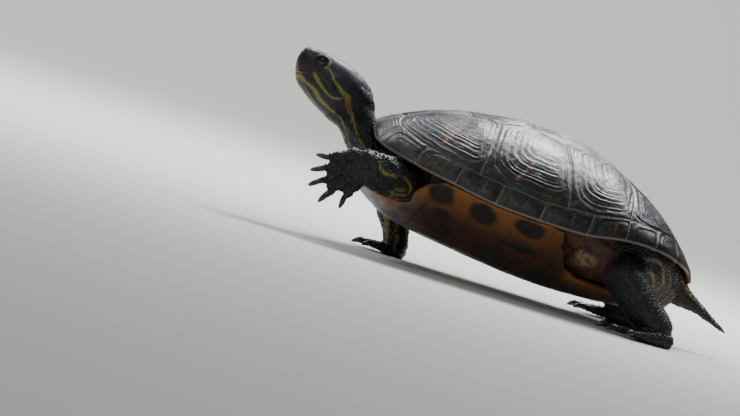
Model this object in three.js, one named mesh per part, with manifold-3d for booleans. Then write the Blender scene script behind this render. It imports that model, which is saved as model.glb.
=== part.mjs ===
// An adult red-eared slider turtle, alive, basking with its head up and one foreleg lifted.
// Millimetres, +Z up. It faces -Y, its left side is +X, and it stands on the floor at z = 0.
import * as THREE from 'three';
import { mergeVertices } from 'three/addons/utils/BufferGeometryUtils.js';
import Module from 'manifold-3d';

const wasm = await Module();
wasm.setup();

// ---- Driving dimensions ----
const GAP = 0.3; // clearance between neighbouring pieces
const SHELL_LENGTH = 230; // straight length of the carapace
const SHELL_PITCH = 10; // degrees that the front of the shell is raised
const SHELL_LIFT = 62; // height of the middle of the shell's long axis over the floor
const PLATE = 4; // thickness of carapace and plastron
const SPINE_FRONT = 46; // the rows of the dome meet on the spine from here ...
const SPINE_REAR = 186; // ... to here
const HEAD_PITCH = 10.7; // degrees that the snout is raised
const HEAD_BACK = [0, -127, 92]; // where the head joins the neck
const EYE_RADIUS = 4.6;
const FLOOR_CUT = 120; // half size of the block that trims soles flat
const WHOLE = 160; // larger than any limb, for the half spaces that part one

// Rim of the carapace, on the left half. Each point is also the outer end of a marginal seam:
// half width, distance behind the front, height over the shell's long axis.
const RIM = [
  [0, 3.5, -2], [24, 1.5, -4], [48, 6, -10], [68, 31, -12.5], [79, 58, -12.5], [84, 86, -12], [87, 115, -8.5],
  [88, 146, -3], [84, 170, 5], [74, 191, 8.5], [57, 209, 8], [31, 223, 4], [0, 229, -1],
];
// Height of the spine at distances behind the front.
const CREST = [
  [0, -2], [8, 5], [22, 12.5], [45, 26], [76, 38], [108, 44], [138, 44.5], [167, 37], [192, 25.5], [214, 12],
  [230, -1],
];
// Plastron, at distances behind the front: half width, height of its middle, rise of its edges.
const PLASTRON_WIDTH = [
  [10, 15], [13, 23], [20, 33], [30, 41], [35, 46], [40, 60], [46, 72], [54, 77], [88, 83], [116, 86],
  [134, 82], [142, 66], [148, 52], [156, 48], [178, 42], [195, 33], [204, 22], [207, 17],
];
const PLASTRON_HEIGHT = [
  [10, -42], [18, -46], [30, -50.5], [50, -52.5], [90, -51], [130, -48], [170, -41], [207, -31],
];
const PLASTRON_RISE = [
  [10, 4], [28, 9], [35, 13], [42, 27], [50, 36.5], [60, 38.5], [88, 39], [116, 41], [134, 39],
  [143, 22], [152, 12], [180, 9], [207, 3],
];

// ---- Helpers ----
const radians = THREE.MathUtils.degToRad;
const lerp = THREE.MathUtils.lerp;
const vec = (p) => new THREE.Vector3(...p);

// A smooth curve through a table of [position, value] rows.
function smoothTable(rows) {
  const slope = rows.map((row, i) => {
    const before = rows[Math.max(i - 1, 0)];
    const after = rows[Math.min(i + 1, rows.length - 1)];
    return (after[1] - before[1]) / (after[0] - before[0]);
  });
  return (x) => {
    const last = rows.length - 2;
    const found = rows.findIndex((row) => row[0] > x) - 1;
    const i = found < 0 ? (x < rows[0][0] ? 0 : last) : Math.min(found, last);
    const span = rows[i + 1][0] - rows[i][0];
    const t = THREE.MathUtils.clamp((x - rows[i][0]) / span, 0, 1);
    const h = t * t * (3 - 2 * t);
    const ease = (1 - t) * t;
    return lerp(rows[i][1], rows[i + 1][1], h) + span * ease * (slope[i] * (1 - t) - slope[i + 1] * t);
  };
}

function geometryOf(points, index) {
  const geometry = new THREE.BufferGeometry();
  const position = points.flatMap((p) => [p.x, p.y, p.z]);
  geometry.setAttribute('position', new THREE.Float32BufferAttribute(position, 3));
  geometry.setIndex(index);
  return geometry;
}

// A skin over rings of equal count, closed at both ends by a fan, or left to close on itself.
function loft(rings, capped = true) {
  const count = rings[0].length;
  const points = rings.flat();
  const index = [];
  for (let r = 0; r + 1 < rings.length; r += 1) {
    for (let k = 0; k < count; k += 1) {
      const a = r * count + k;
      const b = r * count + ((k + 1) % count);
      index.push(a, b, b + count, a, b + count, a + count);
    }
  }
  if (capped) {
    const middle = (ring) => ring.reduce((sum, p) => sum.add(p), new THREE.Vector3()).divideScalar(count);
    points.push(middle(rings[0]), middle(rings.at(-1)));
    const start = (rings.length - 1) * count;
    for (let k = 0; k < count; k += 1) {
      const next = (k + 1) % count;
      index.push(next, k, points.length - 2, start + k, start + next, points.length - 1);
    }
  }
  return geometryOf(points, index);
}

// A plate between two grids of points of equal size.
function plate(under, over) {
  const rows = under.length;
  const columns = under[0].length;
  const points = [...under.flat(), ...over.flat()];
  const index = [];
  const low = (r, c) => r * columns + c;
  const high = (r, c) => rows * columns + low(r, c);
  const quad = (a, b, c, d) => index.push(a, b, c, a, c, d);
  for (let r = 0; r + 1 < rows; r += 1) {
    for (let c = 0; c + 1 < columns; c += 1) {
      quad(low(r, c), low(r + 1, c), low(r + 1, c + 1), low(r, c + 1));
      quad(high(r, c), high(r, c + 1), high(r + 1, c + 1), high(r + 1, c));
    }
    quad(low(r, 0), high(r, 0), high(r + 1, 0), low(r + 1, 0));
    quad(low(r + 1, columns - 1), high(r + 1, columns - 1), high(r, columns - 1), low(r, columns - 1));
  }
  for (let c = 0; c + 1 < columns; c += 1) {
    quad(low(0, c + 1), high(0, c + 1), high(0, c), low(0, c));
    quad(low(rows - 1, c), high(rows - 1, c), high(rows - 1, c + 1), low(rows - 1, c + 1));
  }
  return geometryOf(points, index);
}

function signedVolume(position, index) {
  let sum = 0;
  const [a, b, c] = [new THREE.Vector3(), new THREE.Vector3(), new THREE.Vector3()];
  for (let i = 0; i < index.length; i += 3) {
    a.fromArray(position, index[i] * 3);
    b.fromArray(position, index[i + 1] * 3);
    c.fromArray(position, index[i + 2] * 3);
    sum += a.dot(b.cross(c)) / 6;
  }
  return sum;
}

// A solid for cutting and joining, from any closed geometry.
function solid(geometry) {
  const bare = geometry.clone();
  bare.deleteAttribute('normal');
  bare.deleteAttribute('uv');
  const merged = mergeVertices(bare, 1e-4);
  const position = Float32Array.from(merged.attributes.position.array);
  let index = [];
  for (let i = 0; i < merged.index.count; i += 3) {
    const [a, b, c] = [0, 1, 2].map((k) => merged.index.getX(i + k));
    if (a !== b && b !== c && c !== a) index.push(a, b, c);
  }
  if (signedVolume(position, index) < 0) index = index.reverse();
  const triVerts = Uint32Array.from(index);
  return new wasm.Manifold(new wasm.Mesh({ numProp: 3, vertProperties: position, triVerts }));
}

function geometryFrom(manifold) {
  const mesh = manifold.getMesh();
  const geometry = new THREE.BufferGeometry();
  geometry.setAttribute('position', new THREE.BufferAttribute(Float32Array.from(mesh.vertProperties), 3));
  geometry.setIndex(Array.from(mesh.triVerts));
  geometry.computeVertexNormals();
  return geometry;
}

const join = (parts) => parts.reduce((sum, part) => sum.add(part));
const cut = (body, tools) => tools.reduce((rest, tool) => rest.subtract(tool), body);

// The largest closed piece of a solid: slivers left by a cut are dropped.
function largest(body) {
  return body.decompose().reduce((best, piece) => (piece.volume() > best.volume() ? piece : best));
}

// A box from its lowest and highest corner.
function block(low, high) {
  const size = vec(high).sub(vec(low));
  const box = new THREE.BoxGeometry(size.x, size.y, size.z);
  const middle = vec(low).add(vec(high)).multiplyScalar(0.5);
  return solid(box.translate(middle.x, middle.y, middle.z));
}

// A round-ended limb or neck through stations of [place, half width, half height].
const CAP_DEPTH = 0.8; // how far a tube's end swells, as a share of its radius

function tube(stations, { up = [0, 0, 1], sides = 12, steps = 2, grow = 0, caps = [60, 25] } = {}) {
  const path = new THREE.CatmullRomCurve3(stations.map((s) => vec(s[0])), false, 'centripetal');
  const last = stations.length - 1;
  const widths = smoothTable(stations.map((s, i) => [i, s[1] + grow]));
  const heights = smoothTable(stations.map((s, i) => [i, s[2] + grow]));
  const ringAt = (u, along, shrink) => {
    const at = path.getPoint(u / last);
    const tangent = path.getTangent(u / last);
    const side = tangent.clone().cross(vec(up)).normalize();
    const top = side.clone().cross(tangent);
    at.addScaledVector(tangent, along);
    return Array.from({ length: sides }, (_, k) => {
      const angle = (2 * Math.PI * k) / sides;
      return at.clone()
        .addScaledVector(side, Math.cos(angle) * widths(u) * shrink)
        .addScaledVector(top, Math.sin(angle) * heights(u) * shrink);
    });
  };
  const capDepth = (u) => Math.min(widths(u), heights(u)) * CAP_DEPTH;
  const rings = [];
  for (const angle of caps) {
    rings.push(ringAt(0, -capDepth(0) * Math.sin(radians(angle)), Math.cos(radians(angle))));
  }
  for (let k = 0; k <= last * steps; k += 1) rings.push(ringAt(k / steps, 0, 1));
  for (const angle of [...caps].reverse()) {
    rings.push(ringAt(last, capDepth(last) * Math.sin(radians(angle)), Math.cos(radians(angle))));
  }
  return solid(loft(rings));
}

// ---- Shell ----
const shellFrame = new THREE.Matrix4().makeTranslation(0, 0, SHELL_LIFT)
  .multiply(new THREE.Matrix4().makeRotationX(radians(-SHELL_PITCH)))
  .multiply(new THREE.Matrix4().makeTranslation(0, -SHELL_LENGTH / 2, 0));
const inShell = (x, b, z) => new THREE.Vector3(x, b, z).applyMatrix4(shellFrame);

const mirrored = RIM.slice(1, -1).reverse().map(([x, b, z]) => [-x, b, z]);
const rimLoop = new THREE.CatmullRomCurve3([...RIM, ...mirrored].map(vec), true, 'centripetal');
const crest = smoothTable(CREST);

// How the dome rises from its rim: a low bulge makes it steep at the rim, a high power flat at the top.
const DOME_ENDS = { power: 1.25, bulge: 0.85 };
const DOME_SIDES = { power: 2.2, bulge: 0.62 };

// A point of the dome: u runs once round the rim, v from the rim to the spine.
// The sides are steep over the bridges, and the two ends slope evenly.
function domePoint(u, v, drop = 0) {
  const rim = rimLoop.getPoint(u);
  const spine = lerp(SPINE_FRONT, SPINE_REAR, THREE.MathUtils.clamp(rim.y / SHELL_LENGTH, 0, 1));
  const sideness = (rim.x / RIM[7][0]) ** 2;
  const power = lerp(DOME_ENDS.power, DOME_SIDES.power, sideness);
  const bulge = lerp(DOME_ENDS.bulge, DOME_SIDES.bulge, sideness);
  const share = THREE.MathUtils.clamp(v, 0, 1);
  const rise = (1 - (1 - share) ** power) ** bulge;
  const out = 1 - Math.min(v, 1);
  return inShell(rim.x * out, lerp(spine, rim.y, out), lerp(rim.z, crest(spine), rise) - drop);
}

const RIM_STEPS = 48;
const OUTER_ROWS = [1, 0.8, 0.6, 0.42, 0.27, 0.14, 0.05, 0];
const INNER_ROWS = [0.09, 0.2, 0.4, 0.7, 1];
const HALF_SPAN = 80; // about how far the rim is from the spine, which turns a clearance into a share
const LIP = 0.045; // width of the flat underside of the rim, as a share of the way to the spine

function carapaceSolid(grow) {
  const ring = (v, drop) => Array.from({ length: RIM_STEPS }, (_, k) => domePoint(k / RIM_STEPS, v, drop));
  const under = (v) => ring(v + grow / HALF_SPAN, PLATE + grow);
  const lip = Array.from({ length: RIM_STEPS }, (_, k) => {
    const edge = domePoint(k / RIM_STEPS, 0, 1 + grow);
    const inner = domePoint(k / RIM_STEPS, LIP + grow / HALF_SPAN);
    return new THREE.Vector3(inner.x, inner.y, edge.z);
  });
  const edge = ring(-grow / HALF_SPAN, 0.5 + grow);
  const outer = OUTER_ROWS.map((v) => ring(v, 0));
  return solid(loft([...outer, edge, lip, ...INNER_ROWS.map(under)], false));
}

const PLASTRON_COLUMNS = 12;

const plastronWidth = smoothTable(PLASTRON_WIDTH);
const plastronHeight = smoothTable(PLASTRON_HEIGHT);
const plastronRise = smoothTable(PLASTRON_RISE);
const PLASTRON_BOWL = 2.6; // how late the plastron's edges turn up

// The inner face of the plastron under the same place as a point of the dome.
function plastronTop(u, v, lift) {
  const rim = rimLoop.getPoint(u);
  const spine = lerp(SPINE_FRONT, SPINE_REAR, THREE.MathUtils.clamp(rim.y / SHELL_LENGTH, 0, 1));
  const out = 1 - Math.min(v, 1);
  const [x, b] = [rim.x * out, lerp(spine, rim.y, out)];
  const across = Math.min(Math.abs(x) / plastronWidth(b), 1);
  const rise = plastronRise(b) * across ** PLASTRON_BOWL;
  const steep = (plastronRise(b) * PLASTRON_BOWL * across ** (PLASTRON_BOWL - 1)) / plastronWidth(b);
  return inShell(x, b, plastronHeight(b) + rise + (PLATE + lift) * Math.hypot(1, steep));
}

function plastronSolid(grow) {
  const under = [];
  const over = [];
  for (const [b] of PLASTRON_WIDTH) {
    const profile = (s) => new THREE.Vector2(
      s * plastronWidth(b), plastronHeight(b) + plastronRise(b) * Math.abs(s) ** PLASTRON_BOWL);
    const low = [];
    const high = [];
    for (let c = 0; c <= PLASTRON_COLUMNS; c += 1) {
      const s = lerp(-1, 1, c / PLASTRON_COLUMNS);
      const at = profile(s);
      const along = profile(s + 0.02).sub(profile(s - 0.02)).normalize();
      const inward = new THREE.Vector2(-along.y, along.x);
      low.push(inShell(at.x - inward.x * grow, b, at.y - inward.y * grow));
      high.push(inShell(at.x + inward.x * (PLATE + grow), b, at.y + inward.y * (PLATE + grow)));
    }
    under.push(low);
    over.push(high);
  }
  return solid(plate(under, over));
}

// ---- Flesh of the trunk: it fills the shell and shows at the front and rear openings ----
const TRUNK_SIDES = 24;
const TRUNK_CLEAR = 1.2; // hidden clearance to the shell plates
// How far in from the rim the flesh stands, as a share of the way to the spine, front to rear.
const TRUNK_INSET = smoothTable([
  [0, 0.3], [30, 0.27], [62, 0.18], [130, 0.18], [150, 0.22], [180, 0.19], [230, 0.14],
]);

function trunkSolid() {
  const ring = (share, level) => Array.from({ length: TRUNK_SIDES }, (_, k) => {
    const rim = rimLoop.getPoint(k / TRUNK_SIDES);
    const v = lerp(TRUNK_INSET(rim.y), 1, share);
    const roof = domePoint(k / TRUNK_SIDES, v, PLATE + TRUNK_CLEAR);
    const floor = plastronTop(k / TRUNK_SIDES, v, TRUNK_CLEAR);
    return new THREE.Vector3().lerpVectors(floor, roof, level);
  });
  const roof = [1, 0.6, 0.3, 0.08].map((share) => ring(share, 1));
  const wall = [0.85, 0.5, 0.15].map((level) => ring(level === 0.5 ? -0.06 : 0, level));
  const floor = [0.08, 0.2, 0.35, 0.55, 0.8, 1].map((share) => ring(share, 0));
  return solid(loft([...roof, ...wall, ...floor], false));
}

// ---- Head ----
// Stations from the back of the head to the snout: distance, top, bottom, half width, roundness.
const HEAD_TOP = [
  [-6, 9], [3, 13.5], [14, 15.8], [25, 16], [30, 15.8], [37, 15], [42, 13.6], [44.5, 8.4],
];
const HEAD_BOTTOM = [
  [-6, -24], [4, -22], [16, -19], [27, -15], [34, -11.6], [38, -9.2], [41.5, -4.5], [44.5, 3],
];
const HEAD_WIDTH = [
  [-6, 13], [3, 15], [12, 15.6], [20, 14.8], [28, 12.8], [34, 10.6], [39, 8.4], [42.5, 6.2], [44.5, 2.5],
];

const HEAD_RINGS = 12;
const HEAD_SIDES = 18;
const HEAD_SQUARE = 0.78; // under 1, the sections of the head fill out towards a square

const headFrame = new THREE.Matrix4().makeTranslation(...HEAD_BACK)
  .multiply(new THREE.Matrix4().makeRotationX(radians(-HEAD_PITCH)))
  .multiply(new THREE.Matrix4().makeScale(-1, -1, 1));
const inHead = (x, forward, z) => new THREE.Vector3(x, forward, z).applyMatrix4(headFrame);

// A cosine or sine drawn out, so that a section fills its corners.
const fuller = (value) => Math.sign(value) * Math.abs(value) ** HEAD_SQUARE;

function headSolid(grow) {
  const top = smoothTable(HEAD_TOP);
  const bottom = smoothTable(HEAD_BOTTOM);
  const width = smoothTable(HEAD_WIDTH);
  const rings = [];
  for (let k = 0; k <= HEAD_RINGS; k += 1) {
    const forward = lerp(HEAD_TOP[0][0], HEAD_TOP.at(-1)[0], 1 - (1 - k / HEAD_RINGS) ** 1.25);
    const middle = (top(forward) + bottom(forward)) / 2 + 1;
    rings.push(Array.from({ length: HEAD_SIDES }, (_, i) => {
      const angle = (2 * Math.PI * i) / HEAD_SIDES;
      const reach = Math.sin(angle) > 0 ? top(forward) - middle : middle - bottom(forward);
      const x = fuller(Math.cos(angle)) * (width(forward) + grow);
      const z = fuller(Math.sin(angle)) * (reach + grow);
      return inHead(x, forward + (k === HEAD_RINGS ? grow : 0) - (k === 0 ? grow : 0), middle + z);
    }));
  }
  return solid(loft(rings));
}

const EYE_PLACE = [7.6, 29.4, 10];

function eyeSolid(side, grow) {
  const at = inHead(-side * EYE_PLACE[0], EYE_PLACE[1], EYE_PLACE[2]);
  const ball = new THREE.SphereGeometry(EYE_RADIUS + grow, 12, 7);
  return solid(ball.translate(at.x, at.y, at.z));
}

// A prism across the head that holds the lower jaw; its upper side is the mouth line.
function jawPrism(grow) {
  const outline = [
    [60, -8.5 + grow], [42.5, -4.2 + grow], [25 - grow, 0.2 + grow], [17 - grow, -14], [14 - grow, -40],
    [60, -40],
  ];
  const ends = [-30, 30].map((x) => outline.map(([f, z]) => inHead(x, f, z)));
  return solid(loft(ends));
}

// ---- Neck, tail and legs ----
const NECK = [
  [[0, -80, 52], 15, 12.5], [[0, -98, 58], 15.5, 12.5], [[0, -113, 68], 14.5, 12.5],
  [[0, -122.5, 78], 14, 13],
  [[0, -129, 87.5], 14, 15.5],
];
const TAIL = [
  [[0, 84, 43], 15, 15], [[0, 99, 37.5], 12, 14], [[0, 109, 32], 7.5, 8], [[0, 120, 28.3], 4.2, 4.6],
  [[0, 132, 22.8], 2.7, 2.7], [[0, 143.5, 17.4], 1.1, 1.1],
];

const FORELEG_RAISED = [
  [[40, -78, 50], 11, 12], [[56, -90, 51], 11, 13], [[65, -101, 52], 9.5, 12.5], [[67, -110, 53], 8, 12],
  [[66.5, -119, 52], 6, 10.5],
];
const FORELEG_STANDING = [
  [[-38, -78, 50], 11, 12], [[-51, -83, 42], 10.5, 11.5], [[-56, -79, 29], 9.5, 10], [[-52, -73, 17], 8.5, 9],
  [[-48, -70, 7], 8, 8.5],
];
const HIND_LEG = [
  [[44, 60, 42], 16, 14], [[60, 62, 38], 15.5, 14], [[73, 66.5, 31], 13, 13], [[79, 78, 20.5], 12, 12],
  [[82, 91, 10], 10.5, 10.5],
];
const flip = (stations) => stations.map(([[x, y, z], a, b]) => [[-x, y, z], a, b]);

// A webbed foot: one form that swells over the palm and along each toe and thins in the web.
// Angles are degrees from straight ahead, and reaches run from the wrist to the toes' ends.
const FOOT_ROWS = [[-0.2, 0.75], [0, 1], [0.3, 0.98], [0.6, 0.74], [0.88, 0.52], [1, 0.3]];
const TOE_HALF_WIDTH = 2.4;
const WEB_REACH = 0.84; // how far the web's edge reaches, as a share of the toes beside it
const WEB_SHARE = 0.35; // its thickness at the edge, as a share of the toes'

function footPieces({ at, forward, dorsal, angles, reaches, wrist, thick, claw }) {
  const way = vec(forward).normalize();
  const normal = vec(dorsal).addScaledVector(way, -vec(dorsal).dot(way)).normalize();
  const side = way.clone().cross(normal);
  const frame = new THREE.Matrix4().makeBasis(side, way, normal).setPosition(vec(at));
  const up = normal.toArray();
  const place = (x, y, z) => new THREE.Vector3(x, y, z).applyMatrix4(frame);
  const tip = (angle, reach) => [Math.sin(radians(angle)) * reach, Math.cos(radians(angle)) * reach];
  const last = angles.length - 1;
  // Columns run from edge to edge: toe, web, toe ... with a thin border outside the first and the last toe.
  const columns = [];
  const column = (order, angle, reach, full) => columns.push({ order, tip: tip(angle, reach), full });
  const border = (i, sign) => {
    const spread = THREE.MathUtils.radToDeg(TOE_HALF_WIDTH / reaches[i]);
    column(i + sign * 0.35, angles[i] + sign * spread, reaches[i] * 0.95, 0.2);
  };
  border(0, -1);
  angles.forEach((angle, i) => {
    column(i, angle, reaches[i], 1);
    if (i < last) {
      const reach = Math.min(reaches[i], reaches[i + 1]) * WEB_REACH;
      column(i + 0.5, (angle + angles[i + 1]) / 2, reach, WEB_SHARE);
    }
  });
  border(last, 1);
  const grid = (sign) => FOOT_ROWS.map(([share, swell]) => columns.map(({ order, tip: [x, y], full }) => {
    const start = lerp(-wrist, wrist, order / last);
    const web = lerp(order < 0 || order > last ? 0.4 : 1, full, THREE.MathUtils.clamp(share, 0, 1));
    const ahead = share < 0 ? share * wrist * 2 : y * share;
    return place(lerp(start, x, share), ahead, sign * thick * swell * web);
  }));
  const flesh = solid(plate(grid(-0.9), grid(1)));
  const claws = angles.map((angle, i) => tube([
    [place(...tip(angle, reaches[i] + 2.6 * GAP), 0.3).toArray(), 1.5, 1.7],
    [place(...tip(angle, reaches[i] + claw * 0.5), 0.1).toArray(), 1.2, 1.35],
    [place(...tip(angle, reaches[i] + claw), -claw * 0.28).toArray(), 0.35, 0.4],
  ], { up, sides: 6, steps: 1, caps: [] }));
  return { flesh, claws };
}

const FORE_ANGLES = [-40, -17, 3, 19, 38];
const FORE_REACHES = [24, 29, 29, 25.5, 22.5];
const HIND_ANGLES = [-27, -9, 9, 28];
const HIND_REACHES = [36, 40, 40, 35];

const feet = {
  fore_left: footPieces({
    at: [65.5, -117, 53], forward: [0.04, -0.76, -0.65], dorsal: [1, 0, 0.15],
    angles: FORE_ANGLES, reaches: FORE_REACHES, wrist: 10, thick: 4.6, claw: 6,
  }),
  fore_right: footPieces({
    at: [-47.5, -66, 4.2], forward: [-0.25, -1, -0.02], dorsal: [0, 0, 1],
    angles: FORE_ANGLES.map((a) => a * 0.85), reaches: FORE_REACHES.map((r) => r * 0.9), wrist: 8,
    thick: 4.6, claw: 6.5,
  }),
  hind_left: footPieces({
    at: [80, 96, 4.6], forward: [0.42, -1, -0.02], dorsal: [0, 0, 1],
    angles: HIND_ANGLES, reaches: HIND_REACHES, wrist: 10, thick: 5, claw: 6,
  }),
  hind_right: footPieces({
    at: [-80, 96, 4.6], forward: [-0.42, -1, -0.02], dorsal: [0, 0, 1],
    angles: HIND_ANGLES, reaches: HIND_REACHES, wrist: 10, thick: 5, claw: 6,
  }),
};

// ---- Assembly: each piece is cut back by its neighbours, so that all meet at the same gap ----
const aboveFloor = block([-FLOOR_CUT, -FLOOR_CUT * 2, 0], [FLOOR_CUT, FLOOR_CUT * 2, FLOOR_CUT * 2]);
const carapace = carapaceSolid(0);
const carapaceRoom = carapaceSolid(GAP);
const plastron = largest(cut(plastronSolid(0), [carapaceRoom]));
const nudges = [[0, -GAP, 0], [0, GAP, 0], [-GAP, 0, 0], [GAP, 0, 0], [0, 0, GAP], [0, 0, -GAP]];
const plastronRoom = join([plastronSolid(GAP), ...nudges.map((step) => plastron.translate(step))]);
const shellRoom = [carapaceRoom, plastronRoom];

const head = headSolid(0);
const eyes = { left: eyeSolid(1, 0), right: eyeSolid(-1, 0) };
const eyeRoom = [eyeSolid(1, GAP), eyeSolid(-1, GAP)];
const neckRoom = tube(NECK, { sides: 16, grow: GAP });
const neck = largest(cut(tube(NECK, { sides: 16 }), [headSolid(GAP), ...shellRoom]));
const lowerJaw = largest(head.intersect(jawPrism(0)));
const upperHead = largest(cut(head, [jawPrism(GAP), ...eyeRoom]));

const tailRoom = tube(TAIL, { sides: 10, grow: GAP });
const tail = largest(cut(tube(TAIL, { sides: 10 }), shellRoom));

// Each leg is one limb, parted by thin cuts at elbow or knee, and its foot is cut back by the limb.
const legPlans = {
  fore_left: { stations: FORELEG_RAISED, joint: [62, -98, 52], along: [0.55, -0.8, 0.1] },
  fore_right: { stations: FORELEG_STANDING, joint: [-55.5, -80.5, 32], along: [-0.2, 0.3, -1] },
  hind_left: { stations: HIND_LEG, joint: [73, 69.5, 31.5], along: [0.5, 0.6, -0.5] },
  hind_right: { stations: flip(HIND_LEG), joint: [-73, 69.5, 31.5], along: [-0.5, 0.6, -0.5] },
};

// Two half spaces either side of a joint, with the gap between them.
function halves(joint, along) {
  const direction = vec(along).normalize();
  const turn = new THREE.Quaternion().setFromUnitVectors(new THREE.Vector3(0, 0, 1), direction);
  const half = (sign) => {
    const box = new THREE.BoxGeometry(WHOLE, WHOLE, WHOLE).translate(0, 0, sign * (WHOLE + GAP) / 2);
    const at = vec(joint);
    return solid(box.applyQuaternion(turn).translate(at.x, at.y, at.z));
  };
  return { before: half(-1), after: half(1) };
}

const legs = {};
const legRooms = [];
for (const [name, { stations, joint, along }] of Object.entries(legPlans)) {
  const whole = tube(stations, { sides: 10 });
  const room = tube(stations, { sides: 10, grow: GAP });
  const free = cut(whole, [...shellRoom, neckRoom]).intersect(aboveFloor);
  const { before, after } = halves(joint, along);
  const { flesh, claws } = feet[name];
  legs[name] = {
    upper: largest(free.intersect(before)),
    lower: largest(free.intersect(after)),
    foot: largest(cut(flesh.intersect(aboveFloor), [room])),
    claws: claws.map((claw) => largest(claw.intersect(aboveFloor))),
  };
  legRooms.push(room);
}
const trunk = largest(cut(trunkSolid(), [plastronRoom, neckRoom, tailRoom, ...legRooms]));

// ---- Scene ----
const finish = (color, roughness) => new THREE.MeshStandardMaterial({ color, roughness, metalness: 0 });
const HORN = finish(0x2b2f38, 0.35);
const BELLY = finish(0xb0622a, 0.45);
const SKIN = finish(0x24282b, 0.6);
const CLAW = finish(0x1c1b1a, 0.35);
const EYE = finish(0x15130f, 0.08);

const turtle = new THREE.Group();
turtle.name = 'turtle';
function add(name, piece, material) {
  const mesh = new THREE.Mesh(geometryFrom(piece), material);
  mesh.name = name;
  turtle.add(mesh);
}

add('carapace', carapace, HORN);
add('plastron', plastron, BELLY);
add('trunk', trunk, SKIN);
add('neck', neck, SKIN);
add('head', upperHead, SKIN);
add('lower_jaw', lowerJaw, SKIN);
add('eye_left', eyes.left, EYE);
add('eye_right', eyes.right, EYE);
add('tail', tail, SKIN);
for (const [name, leg] of Object.entries(legs)) {
  add(`upper_leg_${name}`, leg.upper, SKIN);
  add(`lower_leg_${name}`, leg.lower, SKIN);
  add(`foot_${name}`, leg.foot, SKIN);
  leg.claws.forEach((claw, i) => add(`claw_${name}_${i + 1}`, claw, CLAW));
}

// The origin is on the floor, under the middle of the whole animal's box.
const box = new THREE.Box3().setFromObject(turtle);
const middle = box.getCenter(new THREE.Vector3());
turtle.position.set(-middle.x, -middle.y, -box.min.z);

export default turtle;
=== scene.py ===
"""An adult red-eared slider turtle, basking: head up, left foreleg lifted and its toes fanned.

Shapes are worked out in millimetres in three frames and then placed in metres:
- the shell frame (x to the left, b backwards from the front rim, z up from the shell's long axis),
- the head frame (x to the left, f forwards from the nape, z up),
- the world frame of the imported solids, which face -Y and stand on z = 0.
"""
import math
from contextlib import contextmanager

import bmesh
import bpy
import numpy as np
from mathutils import Matrix, Vector
from mathutils.geometry import barycentric_transform
from mathutils.bvhtree import BVHTree
from mathutils.kdtree import KDTree


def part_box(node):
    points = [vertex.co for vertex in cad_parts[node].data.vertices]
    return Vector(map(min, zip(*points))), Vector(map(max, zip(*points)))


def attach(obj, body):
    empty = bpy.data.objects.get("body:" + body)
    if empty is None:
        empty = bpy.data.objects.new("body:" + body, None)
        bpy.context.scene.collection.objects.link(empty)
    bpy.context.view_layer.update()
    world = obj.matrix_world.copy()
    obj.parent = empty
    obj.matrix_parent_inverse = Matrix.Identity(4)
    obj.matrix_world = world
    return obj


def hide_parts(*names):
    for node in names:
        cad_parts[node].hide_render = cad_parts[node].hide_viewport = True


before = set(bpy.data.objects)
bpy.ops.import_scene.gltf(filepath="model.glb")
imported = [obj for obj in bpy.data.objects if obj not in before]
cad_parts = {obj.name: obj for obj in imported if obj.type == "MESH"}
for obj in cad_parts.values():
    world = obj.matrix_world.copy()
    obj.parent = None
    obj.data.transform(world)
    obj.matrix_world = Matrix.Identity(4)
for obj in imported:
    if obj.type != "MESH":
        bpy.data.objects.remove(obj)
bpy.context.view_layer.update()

MM = 0.001

# ---- Driving sizes, as the solids have them ----
SHELL_LENGTH = 230.0
SHELL_PITCH = math.radians(10)
SHELL_LIFT = 62.0  # height of the middle of the shell's long axis over the floor
PLATE = 4.0  # thickness of carapace and plastron
SPINE_FRONT, SPINE_REAR = 46.0, 186.0  # how far back the dome's ridge starts and ends
# Outer ends of the marginal seams on the left half: half width, distance back, height.
RIM = [
    (0, 3.5, -2), (24, 1.5, -4), (48, 6, -10), (68, 31, -12.5), (79, 58, -12.5), (84, 86, -12),
    (87, 115, -8.5), (88, 146, -3), (84, 170, 5), (74, 191, 8.5), (57, 209, 8), (31, 223, 4), (0, 229, -1),
]
# The ridge: distance back, height.
CREST = [
    (0, -2), (8, 5), (22, 12.5), (45, 26), (76, 38), (108, 44), (138, 44.5), (167, 37), (192, 25.5),
    (214, 12), (230, -1),
]
# Distance back, half width.
PLASTRON_WIDTH = [
    (10, 15), (13, 23), (20, 33), (30, 41), (35, 46), (40, 60), (46, 72), (54, 77), (88, 83), (116, 86),
    (134, 82), (142, 66), (148, 52), (156, 48), (178, 42), (195, 33), (204, 22), (207, 17),
]
HEAD_BACK = (0, -127, 92)  # the nape, where the head frame starts
HEAD_PITCH = math.radians(10.7)
SHELL_COS, SHELL_SIN = math.cos(SHELL_PITCH), math.sin(SHELL_PITCH)
HEAD_COS, HEAD_SIN = math.cos(HEAD_PITCH), math.sin(HEAD_PITCH)
NO_DISTANCE_YET = 9e9
OUT_OF_REACH = 9.0  # a distance in mm that is past the edge of every painted mark


# ---- Small helpers ----
def smooth_table(rows):
    """A smooth curve through (position, value) rows, for arrays of positions."""
    xs = np.array([row[0] for row in rows], float)
    ys = np.array([row[1] for row in rows], float)
    slope = np.empty(len(xs))
    slope[1:-1] = (ys[2:] - ys[:-2]) / (xs[2:] - xs[:-2])
    slope[0] = (ys[1] - ys[0]) / (xs[1] - xs[0])
    slope[-1] = (ys[-1] - ys[-2]) / (xs[-1] - xs[-2])

    def curve(x):
        x = np.asarray(x, float)
        i = np.clip(np.searchsorted(xs, x, side="right") - 1, 0, len(xs) - 2)
        span = xs[i + 1] - xs[i]
        t = np.clip((x - xs[i]) / span, 0, 1)
        h = t * t * (3 - 2 * t)
        ease = (1 - t) * t
        return ys[i] * (1 - h) + ys[i + 1] * h + span * ease * (slope[i] * (1 - t) - slope[i + 1] * t)

    return curve


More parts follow.
